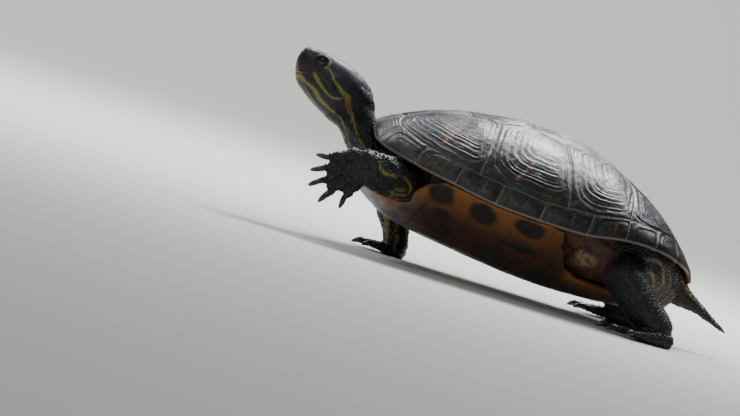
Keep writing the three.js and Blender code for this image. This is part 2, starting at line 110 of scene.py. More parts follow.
def curve_between(p0, p1, p2, p3, w):
    """The centripetal curve from p1 to p2, led in by p0 and out by p3, at shares w of the way."""
    d0, d1, d2 = ((((b - a) ** 2).sum(-1) ** 0.25)[..., None] for a, b in ((p0, p1), (p1, p2), (p2, p3)))
    t1 = ((p1 - p0) / d0 - (p2 - p0) / (d0 + d1) + (p2 - p1) / d1) * d1
    t2 = ((p2 - p1) / d1 - (p3 - p1) / (d1 + d2) + (p3 - p2) / d2) * d1
    return p1 + t1 * w + (-3 * p1 + 3 * p2 - 2 * t1 - t2) * w * w + (2 * p1 - 2 * p2 + t1 + t2) * w ** 3


def closed_curve(points):
    """The curve through a closed loop of points, for arrays of u from 0 to 1."""
    pts = np.array(points, float)
    count = len(pts)

    def curve(u):
        place = (np.asarray(u, float) % 1.0) * count
        i = np.floor(place).astype(int)
        return curve_between(*(pts[(i + k) % count] for k in (-1, 0, 1, 2)), (place - i)[..., None])

    return curve


def open_curve(points):
    """The curve through a row of points, for station numbers from 0."""
    pts = np.array(points, float)
    ends = np.concatenate([[2 * pts[0] - pts[1]], pts, [2 * pts[-1] - pts[-2]]])
    last = len(pts) - 1

    def curve(place):
        place = np.clip(np.asarray(place, float), 0, last)
        i = np.minimum(np.floor(place).astype(int), last - 1)
        return curve_between(*(ends[i + k] for k in range(4)), (place - i)[..., None])

    return curve


def line_distance(points, line):
    """Distance from points (n, k) to a line through corners (m, k)."""
    bends = np.array(line, float)
    best = np.full(len(points), NO_DISTANCE_YET)
    for start, end in zip(bends[:-1], bends[1:]):
        span = end - start
        t = np.clip(((points - start) @ span) / (span @ span), 0, 1)
        best = np.minimum(best, np.linalg.norm(points - start - t[:, None] * span, axis=1))
    return best


def full_turn(sides):
    """Angles once round a section."""
    return 2 * math.pi * np.arange(sides) / sides


def unit(vectors):
    length = np.linalg.norm(vectors, axis=-1, keepdims=True)
    return vectors / np.maximum(length, 1e-12)


def smoothstep(low, high, x):
    t = np.clip((x - low) / (high - low), 0, 1)
    return t * t * (3 - 2 * t)


def bump(x, width):
    """1 at x = 0, falling off as a bell of the given width."""
    return np.exp(-((x / width) ** 2))


RIPPLE_OCTAVES = 3
RIPPLE_WAVES = 5  # waves in each octave, each in a direction of its own
RIPPLE_PEAK = 2.2  # about the height that so many waves reach together


def ripple(points, scale, seed):
    """Smooth seeded noise from -1 to 1 at points (n, 3); scale is the size of its lumps."""
    total = np.zeros(len(points))
    draw = np.random.default_rng(seed)
    weight = 0.0
    for octave in range(RIPPLE_OCTAVES):
        size = scale / 2 ** octave
        share = 0.6 ** octave
        value = np.zeros(len(points))
        for _ in range(RIPPLE_WAVES):
            direction = draw.normal(size=3)
            direction /= np.linalg.norm(direction)
            phase = points @ direction * (2 * math.pi / size) * draw.uniform(0.7, 1.3)
            value += np.sin(phase + draw.uniform(0, 6.28))
        total += share * value / RIPPLE_PEAK
        weight += share
    return np.clip(total / weight, -1, 1)


# ---- Frames ----
carapace_low, carapace_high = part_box("carapace")
rim_rear = RIM[-1]
rear_y = (rim_rear[1] - SHELL_LENGTH / 2) * SHELL_COS + rim_rear[2] * SHELL_SIN
# The solids' origin is under the middle of their box, so the shell's own place is read from its box.
SHIFT = np.array([(carapace_low.x + carapace_high.x) / 2 / MM, carapace_high.y / MM - rear_y, 0])


def shell_to_world(points):
    """Shell frame to world, in millimetres, for arrays (..., 3)."""
    x, b, z = points[..., 0], points[..., 1] - SHELL_LENGTH / 2, points[..., 2]
    place = np.stack([x, b * SHELL_COS + z * SHELL_SIN, z * SHELL_COS - b * SHELL_SIN + SHELL_LIFT], -1)
    return place + SHIFT


def world_to_shell(points):
    local = points - SHIFT - (0, 0, SHELL_LIFT)
    x, y, z = local[..., 0], local[..., 1], local[..., 2]
    return np.stack([x, y * SHELL_COS - z * SHELL_SIN + SHELL_LENGTH / 2, y * SHELL_SIN + z * SHELL_COS], -1)


def head_to_world(points):
    x, f, z = points[..., 0], points[..., 1], points[..., 2]
    place = np.stack([x, z * HEAD_SIN - f * HEAD_COS, z * HEAD_COS + f * HEAD_SIN], -1)
    return place + np.array(HEAD_BACK, float) + SHIFT


def world_to_head(points):
    local = points - np.array(HEAD_BACK, float) - SHIFT
    x, y, z = local[..., 0], local[..., 1], local[..., 2]
    return np.stack([x, z * HEAD_SIN - y * HEAD_COS, z * HEAD_COS + y * HEAD_SIN], -1)


# ---- Meshes ----
DOUBLED_MM = 0.01  # corners nearer than this are one
VOXEL_MM = 0.95  # fineness of the skin that is drawn round joined pieces


@contextmanager
def editing(mesh):
    """Opens a mesh for bmesh's operators and writes it back."""
    bm = bmesh.new()
    bm.from_mesh(mesh)
    yield bm
    bm.to_mesh(mesh)
    bm.free()


def shown(name, data):
    """A new object in the scene, at the origin and unturned."""
    obj = bpy.data.objects.new(name, data)
    bpy.context.scene.collection.objects.link(obj)
    return obj


def shade_smooth(mesh):
    mesh.polygons.foreach_set("use_smooth", np.ones(len(mesh.polygons), bool))


def wrapped(values):
    """Repeats the first column at the end, which closes a sheet."""
    return np.concatenate([values, values[:, :1]], 1)


def sheet_object(name, points, wrap):
    """A sheet of quads from bmesh's grid, its corners moved to points (rows, columns, 3) in mm."""
    full = wrapped(points) if wrap else points
    mesh = bpy.data.meshes.new(name)
    with editing(mesh) as bm:
        bmesh.ops.create_grid(bm, x_segments=full.shape[1] - 1, y_segments=full.shape[0] - 1, size=1)
    mesh.vertices.foreach_set("co", (full * MM).astype(np.float32).ravel())
    return shown(name, mesh)


def add_attribute(obj, name, values):
    layer = obj.data.attributes.new(name, "FLOAT", "POINT")
    layer.data.foreach_set("value", np.ascontiguousarray(values, np.float32).ravel())


def close_up(obj):
    """Merges doubled corners, turns every face outwards and shades the piece smoothly."""
    with editing(obj.data) as bm:
        bmesh.ops.remove_doubles(bm, verts=bm.verts, dist=DOUBLED_MM * MM)
        bmesh.ops.dissolve_degenerate(bm, edges=bm.edges, dist=DOUBLED_MM * MM)
        bmesh.ops.recalc_face_normals(bm, faces=bm.faces)
    shade_smooth(obj.data)
    obj.data.update()


def joined(name, objects):
    """One object from several, with their attributes kept."""
    first = objects[0]
    with bpy.context.temp_override(
            active_object=first, object=first, selected_objects=objects, selected_editable_objects=objects):
        bpy.ops.object.join()
    first.name = name
    first.data.name = name
    return first


def corners(obj):
    """The corners of a mesh in millimetres."""
    flat = np.empty(len(obj.data.vertices) * 3, np.float32)
    obj.data.vertices.foreach_get("co", flat)
    return flat.reshape(-1, 3).astype(float) / MM


def corner_normals(obj):
    flat = np.empty(len(obj.data.vertices) * 3, np.float32)
    obj.data.vertex_normals.foreach_get("vector", flat)
    return flat.reshape(-1, 3).astype(float)


def move_corners(obj, points):
    obj.data.vertices.foreach_set("co", (points * MM).astype(np.float32).ravel())
    obj.data.update()


def sheet_normals(points):
    """Unit normals of a closed sheet of points, on the side where rows turn into columns."""
    along = np.roll(points, -1, 1) - np.roll(points, 1, 1)
    down = np.gradient(points, axis=0)
    return unit(np.cross(down, along))


def relaxed(bm, rounds):
    """Evens out the steps that the remesh leaves."""
    for _ in range(rounds):
        bmesh.ops.smooth_vert(
            bm, verts=bm.verts, factor=0.5, use_axis_x=True, use_axis_y=True, use_axis_z=True)


def remeshed(obj):
    """One closed skin round overlapping closed pieces."""
    modifier = obj.modifiers.new("skin", "REMESH")
    modifier.mode = "VOXEL"
    modifier.voxel_size = VOXEL_MM * MM
    mesh = bpy.data.meshes.new_from_object(obj.evaluated_get(bpy.context.evaluated_depsgraph_get()))
    obj.modifiers.clear()
    obj.data = mesh
    return obj


# ---- Materials ----
def linear(hex_colour):
    """sRGB hex to linear RGBA."""
    channels = [int(hex_colour[i:i + 2], 16) / 255 for i in (1, 3, 5)]
    return tuple(c / 12.92 if c <= 0.04045 else ((c + 0.055) / 1.055) ** 2.4 for c in channels) + (1.0,)


def new_material(name, **settings):
    """A material with one Principled shader, its constant settings on the shader's own sockets."""
    material = bpy.data.materials.new(name)
    material.use_nodes = True
    shader = material.node_tree.nodes["Principled BSDF"]
    for socket, value in settings.items():
        shader.inputs[socket.replace("_", " ")].default_value = value
    return material, material.node_tree, shader


def add(tree, kind, inputs=None, out=0, **settings):
    """Adds a node with its settings; each input is a plain value or the output that feeds it."""
    node = tree.nodes.new(kind)
    for key, value in settings.items():
        setattr(node, key, value)
    for key, value in (inputs or {}).items():
        if isinstance(value, bpy.types.NodeSocket):
            tree.links.new(value, node.inputs[key])
        else:
            node.inputs[key].default_value = value
    return node.outputs[out]


# Sockets of the Mix node: how much of B, the two numbers, the two colours, and the colour that comes out.
AMOUNT, NUMBER_A, NUMBER_B, COLOUR_A, COLOUR_B = 0, 2, 3, 6, 7
COLOURS = {"data_type": "RGBA", "out": 2}


def per_mm(size):
    """The scale that makes a pattern repeat about every so many millimetres."""
    return 1 / (size * MM)


def feed(tree, shader, *values):
    """Links a material's colour, roughness and raised surface to its shader, as many as it has."""
    for value, socket in zip(values, ("Base Color", "Roughness", "Normal")):
        tree.links.new(value, shader.inputs[socket])


def dress(obj, material, slot, *nodes):
    """Gives a piece its material, lets it ride the animal and hides the solids it stands in for; slot is not
    used.
    """
    obj.data.materials.clear()
    obj.data.materials.append(material)
    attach(obj, "root")
    if nodes:
        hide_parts(*nodes)


# ---- Camera: a long lens, turned so that the animal climbs to the left ----
FRAME_WIDTH = 740
FRAME_HEIGHT = 416
PIXELS_PER_MM = 1.572
CAMERA_AZIMUTH = math.radians(5)  # how far the camera stands forward of square to the left side
CAMERA_RISE = math.radians(2)
CAMERA_ROLL = math.radians(17.3)
CAMERA_AWAY = 5000.0
SHELL_MIDDLE_PIXEL = (532.0, 200.5)  # where the middle of the shell's long axis falls in the frame
SENSOR = 36.0


def make_camera():
    """A camera far away on the left side, rolled so that the level floor runs up to the left."""
    ca, sa = math.cos(CAMERA_AZIMUTH), math.sin(CAMERA_AZIMUTH)
    ce, se = math.cos(CAMERA_RISE), math.sin(CAMERA_RISE)
    back = Vector((ce * ca, -ce * sa, se))
    level = Vector((sa, ca, 0))
    rise = back.cross(level)
    right = level * math.cos(CAMERA_ROLL) + rise * math.sin(CAMERA_ROLL)
    up = rise * math.cos(CAMERA_ROLL) - level * math.sin(CAMERA_ROLL)
    across = (FRAME_WIDTH / 2 - SHELL_MIDDLE_PIXEL[0]) / PIXELS_PER_MM
    down = (FRAME_HEIGHT / 2 - SHELL_MIDDLE_PIXEL[1]) / PIXELS_PER_MM
    middle = Vector(SHIFT) + Vector((0, 0, SHELL_LIFT))
    target = middle + right * across - up * down
    data = bpy.data.cameras.new("long_lens")
    data.sensor_width = SENSOR
    data.lens = SENSOR * CAMERA_AWAY * PIXELS_PER_MM / FRAME_WIDTH
    data.clip_end = 50
    camera = shown("long_lens", data)
    turn = Matrix((right, up, back)).transposed()
    camera.matrix_world = Matrix.Translation((target + back * CAMERA_AWAY) * MM) @ turn.to_4x4()
    bpy.context.scene.camera = camera


# ---- Carapace ----
shell_rim = closed_curve(list(RIM) + [(-x, b, z) for x, b, z in RIM[-2:0:-1]])
crest = smooth_table(CREST)
SEAMS_ROUND = 24  # marginal seams, counting the front and rear middle
MARGINAL_WIDTH = 27.0  # about how long a marginal scute is along the rim
MARGINAL_OLDEST = (0.8, 0.1)  # its oldest spot: share of its length from the front, share of its height
FIRST_MARGINAL = 20  # marginal scutes are numbered from here, the others from 0
RING_TOP = 1.1  # share of the way to the seams past which a scute's fields stay level


def dome(u, v):
    """Shell-frame points of the dome: u once round the rim, v from the rim to the spine."""
    rim = shell_rim(u)
    v = np.asarray(v, float)
    spine = SPINE_FRONT + (SPINE_REAR - SPINE_FRONT) * np.clip(rim[..., 1] / SHELL_LENGTH, 0, 1)
    sideness = (rim[..., 0] / RIM[7][0]) ** 2
    power = 1.25 + (2.2 - 1.25) * sideness  # from the ends of the shell to its flanks
    bulge = 0.85 + (0.62 - 0.85) * sideness
    rise = (1 - (1 - np.clip(v, 0, 1)) ** power) ** bulge
    out = 1 - np.minimum(v, 1)
    x = rim[..., 0] * out
    b = spine + (rim[..., 1] - spine) * out
    z = rim[..., 2] + (crest(spine) - rim[..., 2]) * rise
    return np.stack([x, b, z], -1)


# Height of the marginal scutes along the surface, at each seam from the front to the rear.
MARGINAL_HEIGHT = smooth_table(list(enumerate([21, 22, 21, 16.5, 14, 14.5, 13.5, 15.5, 16, 16, 18, 19, 20])))
# Corners where vertebral and costal scutes meet: half width in plan, distance back.
V1_FRONT, V1_REAR = (24, 21), (19, 54)
V2_SIDE, V2_REAR = (29, 72), (20, 93)
V3_SIDE, V3_REAR = (30, 115), (20, 138)
V4_SIDE, V4_REAR = (27, 163), (17, 183)
V5_REAR = (37, 207)
# Each scute: its oldest spot, the straight seams round it, and its reach to the marginals if it meets them.
SCUTES = [
    ((0, 48), [(V1_FRONT, V1_REAR), ((0, 54), V1_REAR)], 27),
    ((0, 86), [((0, 54), V1_REAR), (V1_REAR, V2_SIDE), (V2_SIDE, V2_REAR), ((0, 93), V2_REAR)], None),
    ((0, 131), [((0, 93), V2_REAR), (V2_REAR, V3_SIDE), (V3_SIDE, V3_REAR), ((0, 138), V3_REAR)], None),
    ((0, 175), [((0, 138), V3_REAR), (V3_REAR, V4_SIDE), (V4_SIDE, V4_REAR), ((0, 183), V4_REAR)], None),
    ((0, 199), [((0, 183), V4_REAR), (V4_REAR, V5_REAR)], 14),
    ((33, 60), [(V1_FRONT, V1_REAR), (V1_REAR, V2_SIDE), (V2_SIDE, (76, 70))], 42),
    ((38, 104), [(V2_SIDE, (76, 70)), (V2_SIDE, V2_REAR), (V2_REAR, V3_SIDE), (V3_SIDE, (79, 127))], 50),
    ((38, 151), [(V3_SIDE, (79, 127)), (V3_SIDE, V3_REAR), (V3_REAR, V4_SIDE), (V4_SIDE, (74, 168))], 46),
    ((40, 184), [(V4_SIDE, (74, 168)), (V4_SIDE, V4_REAR), (V4_REAR, V5_REAR)], 26),
]
# Growth grooves, as shares of the way from a scute's oldest spot to its seams, with their depth in mm.
GROWTH = [
    (0.22, 0.1), (0.34, 0.14), (0.46, 0.2), (0.56, 0.34), (0.65, 0.26), (0.73, 0.5), (0.81, 0.34),
    (0.885, 0.44), (0.95, 0.3),
]
ROUNDING = 4.5  # how squarely the growth rings turn at a scute's corners; higher is squarer
CARAPACE_COLUMNS = 624
CARAPACE_ROWS = 150
LIP = 0.045  # width of the rim's flat underside, as a share of the way to the spine


def shell_girth():
    """Plan half width to distance along the shell's surface, taken at its middle."""
    line = dome(0.25, np.linspace(1, 0, 200))
    steps = np.linalg.norm(np.diff(line, axis=0), axis=1)
    return line[:, 0], np.concatenate([[0], np.cumsum(steps)])


GIRTH_PLAN, GIRTH_SURFACE = shell_girth()


def unrolled(x):
    """Plan half width to distance from the spine over the flank."""
    return np.interp(np.abs(x), GIRTH_PLAN, GIRTH_SURFACE)


def across_marginal(seam_index):
    """Share of the way across a marginal scute, from its front seam to its rear one."""
    return seam_index - np.floor(np.minimum(seam_index, SEAMS_ROUND / 2 - 0.001))


def scute_fields(points, rim_distance, seam_index):
    """For each point of the shell: distance to a seam, growth share, the scute's reach and its number."""
    across = unrolled(points[..., 0])
    back = points[..., 1]
    height = MARGINAL_HEIGHT(seam_index)
    over_marginal = rim_distance - height
    best = np.full(across.shape, NO_DISTANCE_YET)
    seam, number, rounded = (np.zeros(across.shape) for _ in range(3))
    scale = np.ones(across.shape)
    for which, (oldest, edges, reach) in enumerate(SCUTES):
        ax, ab = float(unrolled(oldest[0])), oldest[1]
        share = np.full(across.shape, -NO_DISTANCE_YET)
        turned = np.zeros(across.shape)
        gap = np.full(across.shape, NO_DISTANCE_YET)
        active = np.ones(across.shape)
        for (x0, b0), (x1, b1) in edges:
            p0 = np.array([float(unrolled(x0)), b0])
            p1 = np.array([float(unrolled(x1)), b1])
            normal = np.array([p1[1] - p0[1], p0[0] - p1[0]])
            normal /= np.linalg.norm(normal)
            depth = normal @ (p0 - (ax, ab))
            if depth < 0:
                normal, depth = -normal, -depth
            here = (across - ax) * normal[0] + (back - ab) * normal[1]
            nearer = here / depth > share
            share = np.where(nearer, here / depth, share)
            turned += np.clip(here / depth, 0, 2) ** ROUNDING
            active = np.where(nearer, depth, active)
            gap = np.minimum(gap, depth - here)
        if reach:
            here = 1 - over_marginal / reach
            turned += np.clip(here, 0, 2) ** ROUNDING
            nearer = here > share
            share = np.where(nearer, here, share)
            active = np.where(nearer, reach, active)
            gap = np.minimum(gap, over_marginal)
        win = share < best
        best = np.where(win, share, best)
        seam = np.where(win, gap, seam)
        scale = np.where(win, active, scale)
        number = np.where(win, which, number)
        rounded = np.where(win, turned ** (1 / ROUNDING), rounded)
    # Marginals: their oldest spot is low and to the rear.
    part = across_marginal(seam_index)
    up = rim_distance / height
    rear, low = MARGINAL_OLDEST
    shares = np.stack([(rear - part) / rear, (part - rear) / (1 - rear), (up - low) / (1 - low)])
    scales = np.stack([
        np.full(part.shape, rear * MARGINAL_WIDTH), np.full(part.shape, (1 - rear) * MARGINAL_WIDTH),
        (1 - low) * height])
    pick = shares.argmax(0)[None]
    marginal = over_marginal < 0
    rounded = np.where(marginal, (np.clip(shares, 0, 2) ** ROUNDING).sum(0) ** (1 / ROUNDING), rounded)
    scale = np.where(marginal, np.take_along_axis(scales, pick, 0)[0], scale)
    edge = np.minimum(np.minimum(part, 1 - part) * MARGINAL_WIDTH, -over_marginal)
    seam = np.where(marginal, edge, seam)
    number = np.where(marginal, FIRST_MARGINAL + np.floor(seam_index), number)
    return np.maximum(seam, 0), np.clip(rounded, 0, RING_TOP), scale, number


RING_RADIUS = 24  # where a scute is widest, in mm from its oldest spot


def around_oldest(points, number, seam_index):
    """Distance in mm round each scute's oldest spot, measured where the scute is widest."""
    across, back = unrolled(points[..., 0]) * np.sign(points[..., 0]), points[..., 1]
    radial = (seam_index - MARGINAL_OLDEST[0]) * MARGINAL_WIDTH
    for which, (oldest, _, _) in enumerate(SCUTES):
        ax = float(unrolled(oldest[0])) * np.where(points[..., 0] < 0, -1, 1)
        turned = np.arctan2(back - oldest[1], np.abs(across - ax) + 0.1) * RING_RADIUS
        radial = np.where(number == which, turned, radial)
    return radial


def growth_relief(share, scale, number, points):
    """Depth of the growth grooves in mm, and a 0 to 1 mark of where they lie."""
    wobble = 0.9 * ripple(points.reshape(-1, 3), 14, seed=5).reshape(share.shape)
    depth = np.zeros(share.shape)
    mark = np.zeros(share.shape)
    for step, (where, deep) in enumerate(GROWTH):
        jitter = 0.025 * np.sin(number * 2.3 + step * 1.7)
        away = (share - where - jitter) * scale + wobble * 0.5
        line = bump(away, 0.6)
        depth += deep * (line - 0.75 * bump(away - 1.35, 0.85))
        mark = np.maximum(mark, line * (0.6 + deep))
    return depth, np.clip(mark, 0, 1)


def make_carapace():
    """The domed upper shell: thirty-seven scutes of horn with their growth grooves."""
    u = np.linspace(0, 1, CARAPACE_COLUMNS, endpoint=False)
    v = np.linspace(0, 1, CARAPACE_ROWS)
    grid_u, grid_v = np.meshgrid(u, v)
    top = dome(grid_u, grid_v)
    climb = np.linalg.norm(np.diff(top, axis=0), axis=-1)
    rim_distance = np.concatenate([np.zeros((1, CARAPACE_COLUMNS)), np.cumsum(climb, 0)])
    half = np.minimum(grid_u, 1 - grid_u) * SEAMS_ROUND
    seam, share, scale, number = scute_fields(top, rim_distance, half)
    grooves, mark = growth_relief(share, scale, number, top)
    radial = around_oldest(top, number, half)
    # The first vertebrals carry a low keel that ends in a knob at the rear of each.
    back = top[..., 1]
    keel = bump(unrolled(top[..., 0]), 9) * smoothstep(10, 60, back) * smoothstep(225, 200, back)
    rear_knob = sum(bump(back - rear, 11) for rear in (50, 89, 134, 179, 206))
    normals = sheet_normals(top)
    if normals[CARAPACE_ROWS // 2, 0] @ (top[CARAPACE_ROWS // 2, 0] - (0, 115, 0)) < 0:
        normals = -normals
    normals[-1] = normals[-2]
    flat = top.reshape(-1, 3)
    relief = -0.75 * bump(seam, 0.7) - grooves
    relief += 0.4 * (1 - np.minimum(share, 1) ** 2) + keel * (0.5 + 1.3 * rear_knob)
    relief += 0.35 * ripple(flat, 26, seed=3).reshape(share.shape)
    near_rim = smoothstep(0, 5, rim_distance)
    relief *= near_rim
    # Towards the rear the rim is notched where two marginals meet.
    rear = smoothstep(120, 190, back)
    beside = bump((half - np.round(half)) * MARGINAL_WIDTH, 2.6)
    relief -= 1.2 * (beside * smoothstep(5, 0, rim_distance) * rear * (half > 0.5))
    relief[-1] = relief[-1].mean()
    skin = top + normals * relief[..., None]
    skin[-1] = dome(u, np.ones(CARAPACE_COLUMNS)) + normals[-1] * relief[-1][:, None]
    under = []
    for way, drop in (
            (0.0, 0.55), (LIP, None), (0.09, PLATE), (0.2, PLATE), (0.4, PLATE), (0.7, PLATE), (1.0, PLATE)):
        ring = dome(u, np.full(CARAPACE_COLUMNS, way))
        if drop is None:
            ring[:, 2] = skin[0, :, 2] - 1.0
        else:
            ring[:, 2] -= drop
        under.append(ring)
    under[0][:, :2] = skin[0, :, :2]
    under = np.stack(under)
    # Rows run from the spine down the outside, round the rim and back up to the spine inside.
    rows = np.concatenate([skin[::-1], under])
    obj = sheet_object("carapace_horn", shell_to_world(rows), True)
    # Each field of the outside, and the level that stands for it on the inside.
    for field, values, inside in (
            ("seam", seam, OUT_OF_REACH), ("upper_seam", rim_distance - MARGINAL_HEIGHT(half), OUT_OF_REACH),
            ("ring", mark, 0.0), ("share", share, 0.5), ("growth", share * scale, 0.0),
            ("radial", radial, 0.0), ("rim", rim_distance, -PLATE),
            ("bar", bar_distance(top, half, rim_distance, number), OUT_OF_REACH)):
        level = np.full((len(under), CARAPACE_COLUMNS), inside)
        add_attribute(obj, field, wrapped(np.concatenate([values[::-1], level])))
    close_up(obj)
    return obj


# Orange bars down the costal scutes, (half width in plan, distance back), and each bar's half width in mm.
COSTAL_BARS = [
    [(17, 59), (28, 54.5), (39, 50), (53, 44.5), (59, 43)],
    [(30, 109), (38, 106), (52, 101.4), (70, 96), (76, 92)],
    [(44, 152), (58, 148), (70, 145)],
    [(48, 185), (54, 186.2), (60, 189)],
]
BAR_HALF_WIDTHS = [1.5, 0.8, 0.4, 0.3]


def bar_distance(top, half, rim_distance, number):
    """Signed distance in mm to the orange bars: under 0 inside them."""
    spread = np.stack([unrolled(top[..., 0]), top[..., 1]], -1).reshape(-1, 2)
    wander = 0.8 * ripple(top.reshape(-1, 3), 9, seed=8)
    best = np.full(len(spread), OUT_OF_REACH)
    for line, half_width in zip(COSTAL_BARS, BAR_HALF_WIDTHS):
        laid = [(float(unrolled(x)), b) for x, b in line]
        best = np.minimum(best, line_distance(spread, laid) - half_width)
    best = best.reshape(half.shape) + wander.reshape(half.shape) * 0.6
    # One streak up the middle of each marginal.
    streak = np.abs(across_marginal(half) - 0.62) * MARGINAL_WIDTH - 0.1 + np.abs(rim_distance - 8) * 0.12
    return np.where(number >= FIRST_MARGINAL, np.minimum(best, streak), best)


# ---- Plastron ----
plastron_width = smooth_table(PLASTRON_WIDTH)
# Places along the midline where the six pairs of scutes meet, and how far back each seam runs at the edge.
PLASTRON_SEAMS = [(24, 32), (46, 52), (84, 74), (124, 128), (152, 146), (182, 194)]
# Dark spots of the bridge: half width, distance back, height, half height, half length.
BRIDGE_SPOTS = [
    (71.7, 54.5, -22.2, 9, 9), (74.5, 83.4, -21.6, 9.6, 9.6), (79, 114, -16.3, 7.2, 11),
    (60.9, 61, -33, 3.2, 7), (64, 118, -31, 2.6, 10), (72, 139, -14, 5, 4),
]


def make_plastron():
    """The flat lower shell: six pairs of scutes, dark blotches and a spotted bridge."""
    obj = shown("plastron_horn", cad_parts["plastron"].data.copy())
    close_up(obj)
    remeshed(obj)
    with editing(obj.data) as bm:
        relaxed(bm, 4)
    places = corners(obj)
    normals = corner_normals(obj)
    x, b, z = world_to_shell(places).T
    side = np.clip(np.abs(x) / plastron_width(b), 0, 1.2)
    under = normals[:, 2] < 0.2
    seam = np.abs(x)
    for middle, edge in PLASTRON_SEAMS:
        seam = np.minimum(seam, np.abs(b - (middle + (edge - middle) * side ** 1.5)))
    seam = seam + 0.25 * ripple(places, 8, seed=21)
    seam = np.where(under, np.abs(seam), OUT_OF_REACH)
    spots = np.full(len(x), OUT_OF_REACH)
    for across, back, high, tall, long in BRIDGE_SPOTS:
        away = np.hypot(np.hypot(np.abs(x) - across, z - high) / tall, (b - back) / long)
        spots = np.minimum(spots, (away - 1) * 7)
    blotch = np.full(len(x), OUT_OF_REACH)
    for (m0, _), (m1, _) in zip([(10, 0)] + PLASTRON_SEAMS, PLASTRON_SEAMS + [(206, 0)]):
        middle = (m0 + m1) / 2
        reach = np.hypot((side - 0.42) * 60 / 15, (b - middle) / (0.36 * (m1 - m0)))
        blotch = np.minimum(blotch, (reach - 1) * 8)
    wander = 1.6 * ripple(places, 11, seed=22)
    for field, values in (
            ("seam", seam), ("spot", spots + wander * 0.5), ("blotch", blotch + wander), ("side", side),
            ("back", b)):
        add_attribute(obj, field, values)
    sink = 0.12 + 0.45 * bump(seam, 0.7) + 0.1 * ripple(places, 20, seed=23)
    move_corners(obj, places - normals * sink[:, None])
    shade_smooth(obj.data)
    return obj


# ---- Body: head, neck, limbs and tail under one skin ----
# The head's outline: forward of the nape, then the height of its top and bottom and its half width.
HEAD_TOP = [(-6, 9), (3, 13.5), (14, 15.8), (25, 16), (30, 15.8), (37, 15), (42, 13.6), (44.5, 8.4)]
HEAD_BOTTOM = [(-6, -24), (4, -22), (16, -19), (27, -15), (34, -11.6), (38, -9.2), (41.5, -4.5), (44.5, 3)]
HEAD_WIDTH = [
    (-6, 13), (3, 15), (12, 15.6), (20, 14.8), (28, 12.8), (34, 10.6), (39, 8.4), (42.5, 6.2), (44.5, 2.5),
]
HEAD_SQUARE = 0.78  # under 1 the head's section is squarer than an oval
EYE_PLACE = (7.6, 29.4, 10)  # the left eye's middle in the head frame
EYE_RADIUS = 4.6
# Stations of neck, tail and legs in the solids' own frame: middle, half width, half height.
NECK = [
    ((0, -80, 52), 15, 12.5), ((0, -98, 58), 15.5, 12.5), ((0, -113, 68), 14.5, 12.5),
    ((0, -122.5, 78), 14, 13), ((0, -129, 87.5), 14, 15.5),
]
TAIL = [
    ((0, 84, 43), 15, 15), ((0, 99, 37.5), 12, 14), ((0, 109, 32), 7.5, 8), ((0, 120, 28.3), 4.2, 4.6),
    ((0, 132, 22.8), 2.7, 2.7), ((0, 143.5, 17.4), 1.1, 1.1),
]
FORELEG_RAISED = [
    ((40, -78, 50), 11, 12), ((56, -90, 51), 11, 13), ((65, -101, 52), 9.5, 12.5), ((67, -110, 53), 8, 12),
    ((66.5, -119, 52), 6, 10.5),
]
FORELEG_STANDING = [
    ((-38, -78, 50), 11, 12), ((-51, -83, 42), 10.5, 11.5), ((-56, -79, 29), 9.5, 10),
    ((-52, -73, 17), 8.5, 9), ((-48, -70, 7), 8, 8.5),
]
HIND_LEG = [
    ((44, 60, 42), 16, 14), ((60, 62, 38), 15.5, 14), ((73, 66.5, 31), 13, 13), ((79, 78, 20.5), 12, 12),
    ((82, 91, 10), 10.5, 10.5),
]
HIND_LEG_RIGHT = [((-x, y, z), a, b) for (x, y, z), a, b in HIND_LEG]
# Way of each toe in degrees, and its length from the wrist.
FORE_ANGLES = (-40, -17, 3, 19, 38)
FORE_REACHES = (24, 29, 29, 25.5, 22.5)
HIND_ANGLES = (-27, -9, 9, 28)
HIND_REACHES = (36, 40, 40, 35)
# Each foot: wrist, way forward, upper side, angles and lengths of its toes, half width of the wrist,
# thickness, length of its claws.
FEET = {
    "fore_left": (
        (65.5, -117, 53), (0.04, -0.76, -0.65), (1, 0, 0.15), FORE_ANGLES, FORE_REACHES, 10, 4.6, 6),
    "fore_right": (
        (-47.5, -66, 4.2), (-0.25, -1, -0.02), (0, 0, 1), [a * 0.85 for a in FORE_ANGLES],
        [r * 0.9 for r in FORE_REACHES], 8, 4.6, 6.5),
    "hind_left": ((80, 96, 4.6), (0.42, -1, -0.02), (0, 0, 1), HIND_ANGLES, HIND_REACHES, 10, 5, 6),
    "hind_right": ((-80, 96, 4.6), (-0.42, -1, -0.02), (0, 0, 1), HIND_ANGLES, HIND_REACHES, 10, 5, 6),
}
FOOT_SWELL = smooth_table([(-0.2, 0.75), (0, 1), (0.25, 1), (0.5, 0.82), (0.75, 0.6), (0.92, 0.5), (1, 0.3)])
WEB_REACH = 0.84  # how far the web goes out between two toes, as a share of the shorter one
TOE_ROUNDS = 0.86  # share of a toe's length where its tip begins to round off
COAT = 0.45  # how far the skin lies inside the solids, which the scales fill
FLESH = ["trunk", "neck", "head", "lower_jaw", "tail"] + [
    f"{part}_{leg}" for part in ("upper_leg", "lower_leg", "foot") for leg in FEET]


CAP_LENGTH = 0.8  # of a limb's domed end, as a share of its smaller half width
TUBE_STEPS = 10  # sections from one station of a limb to the next


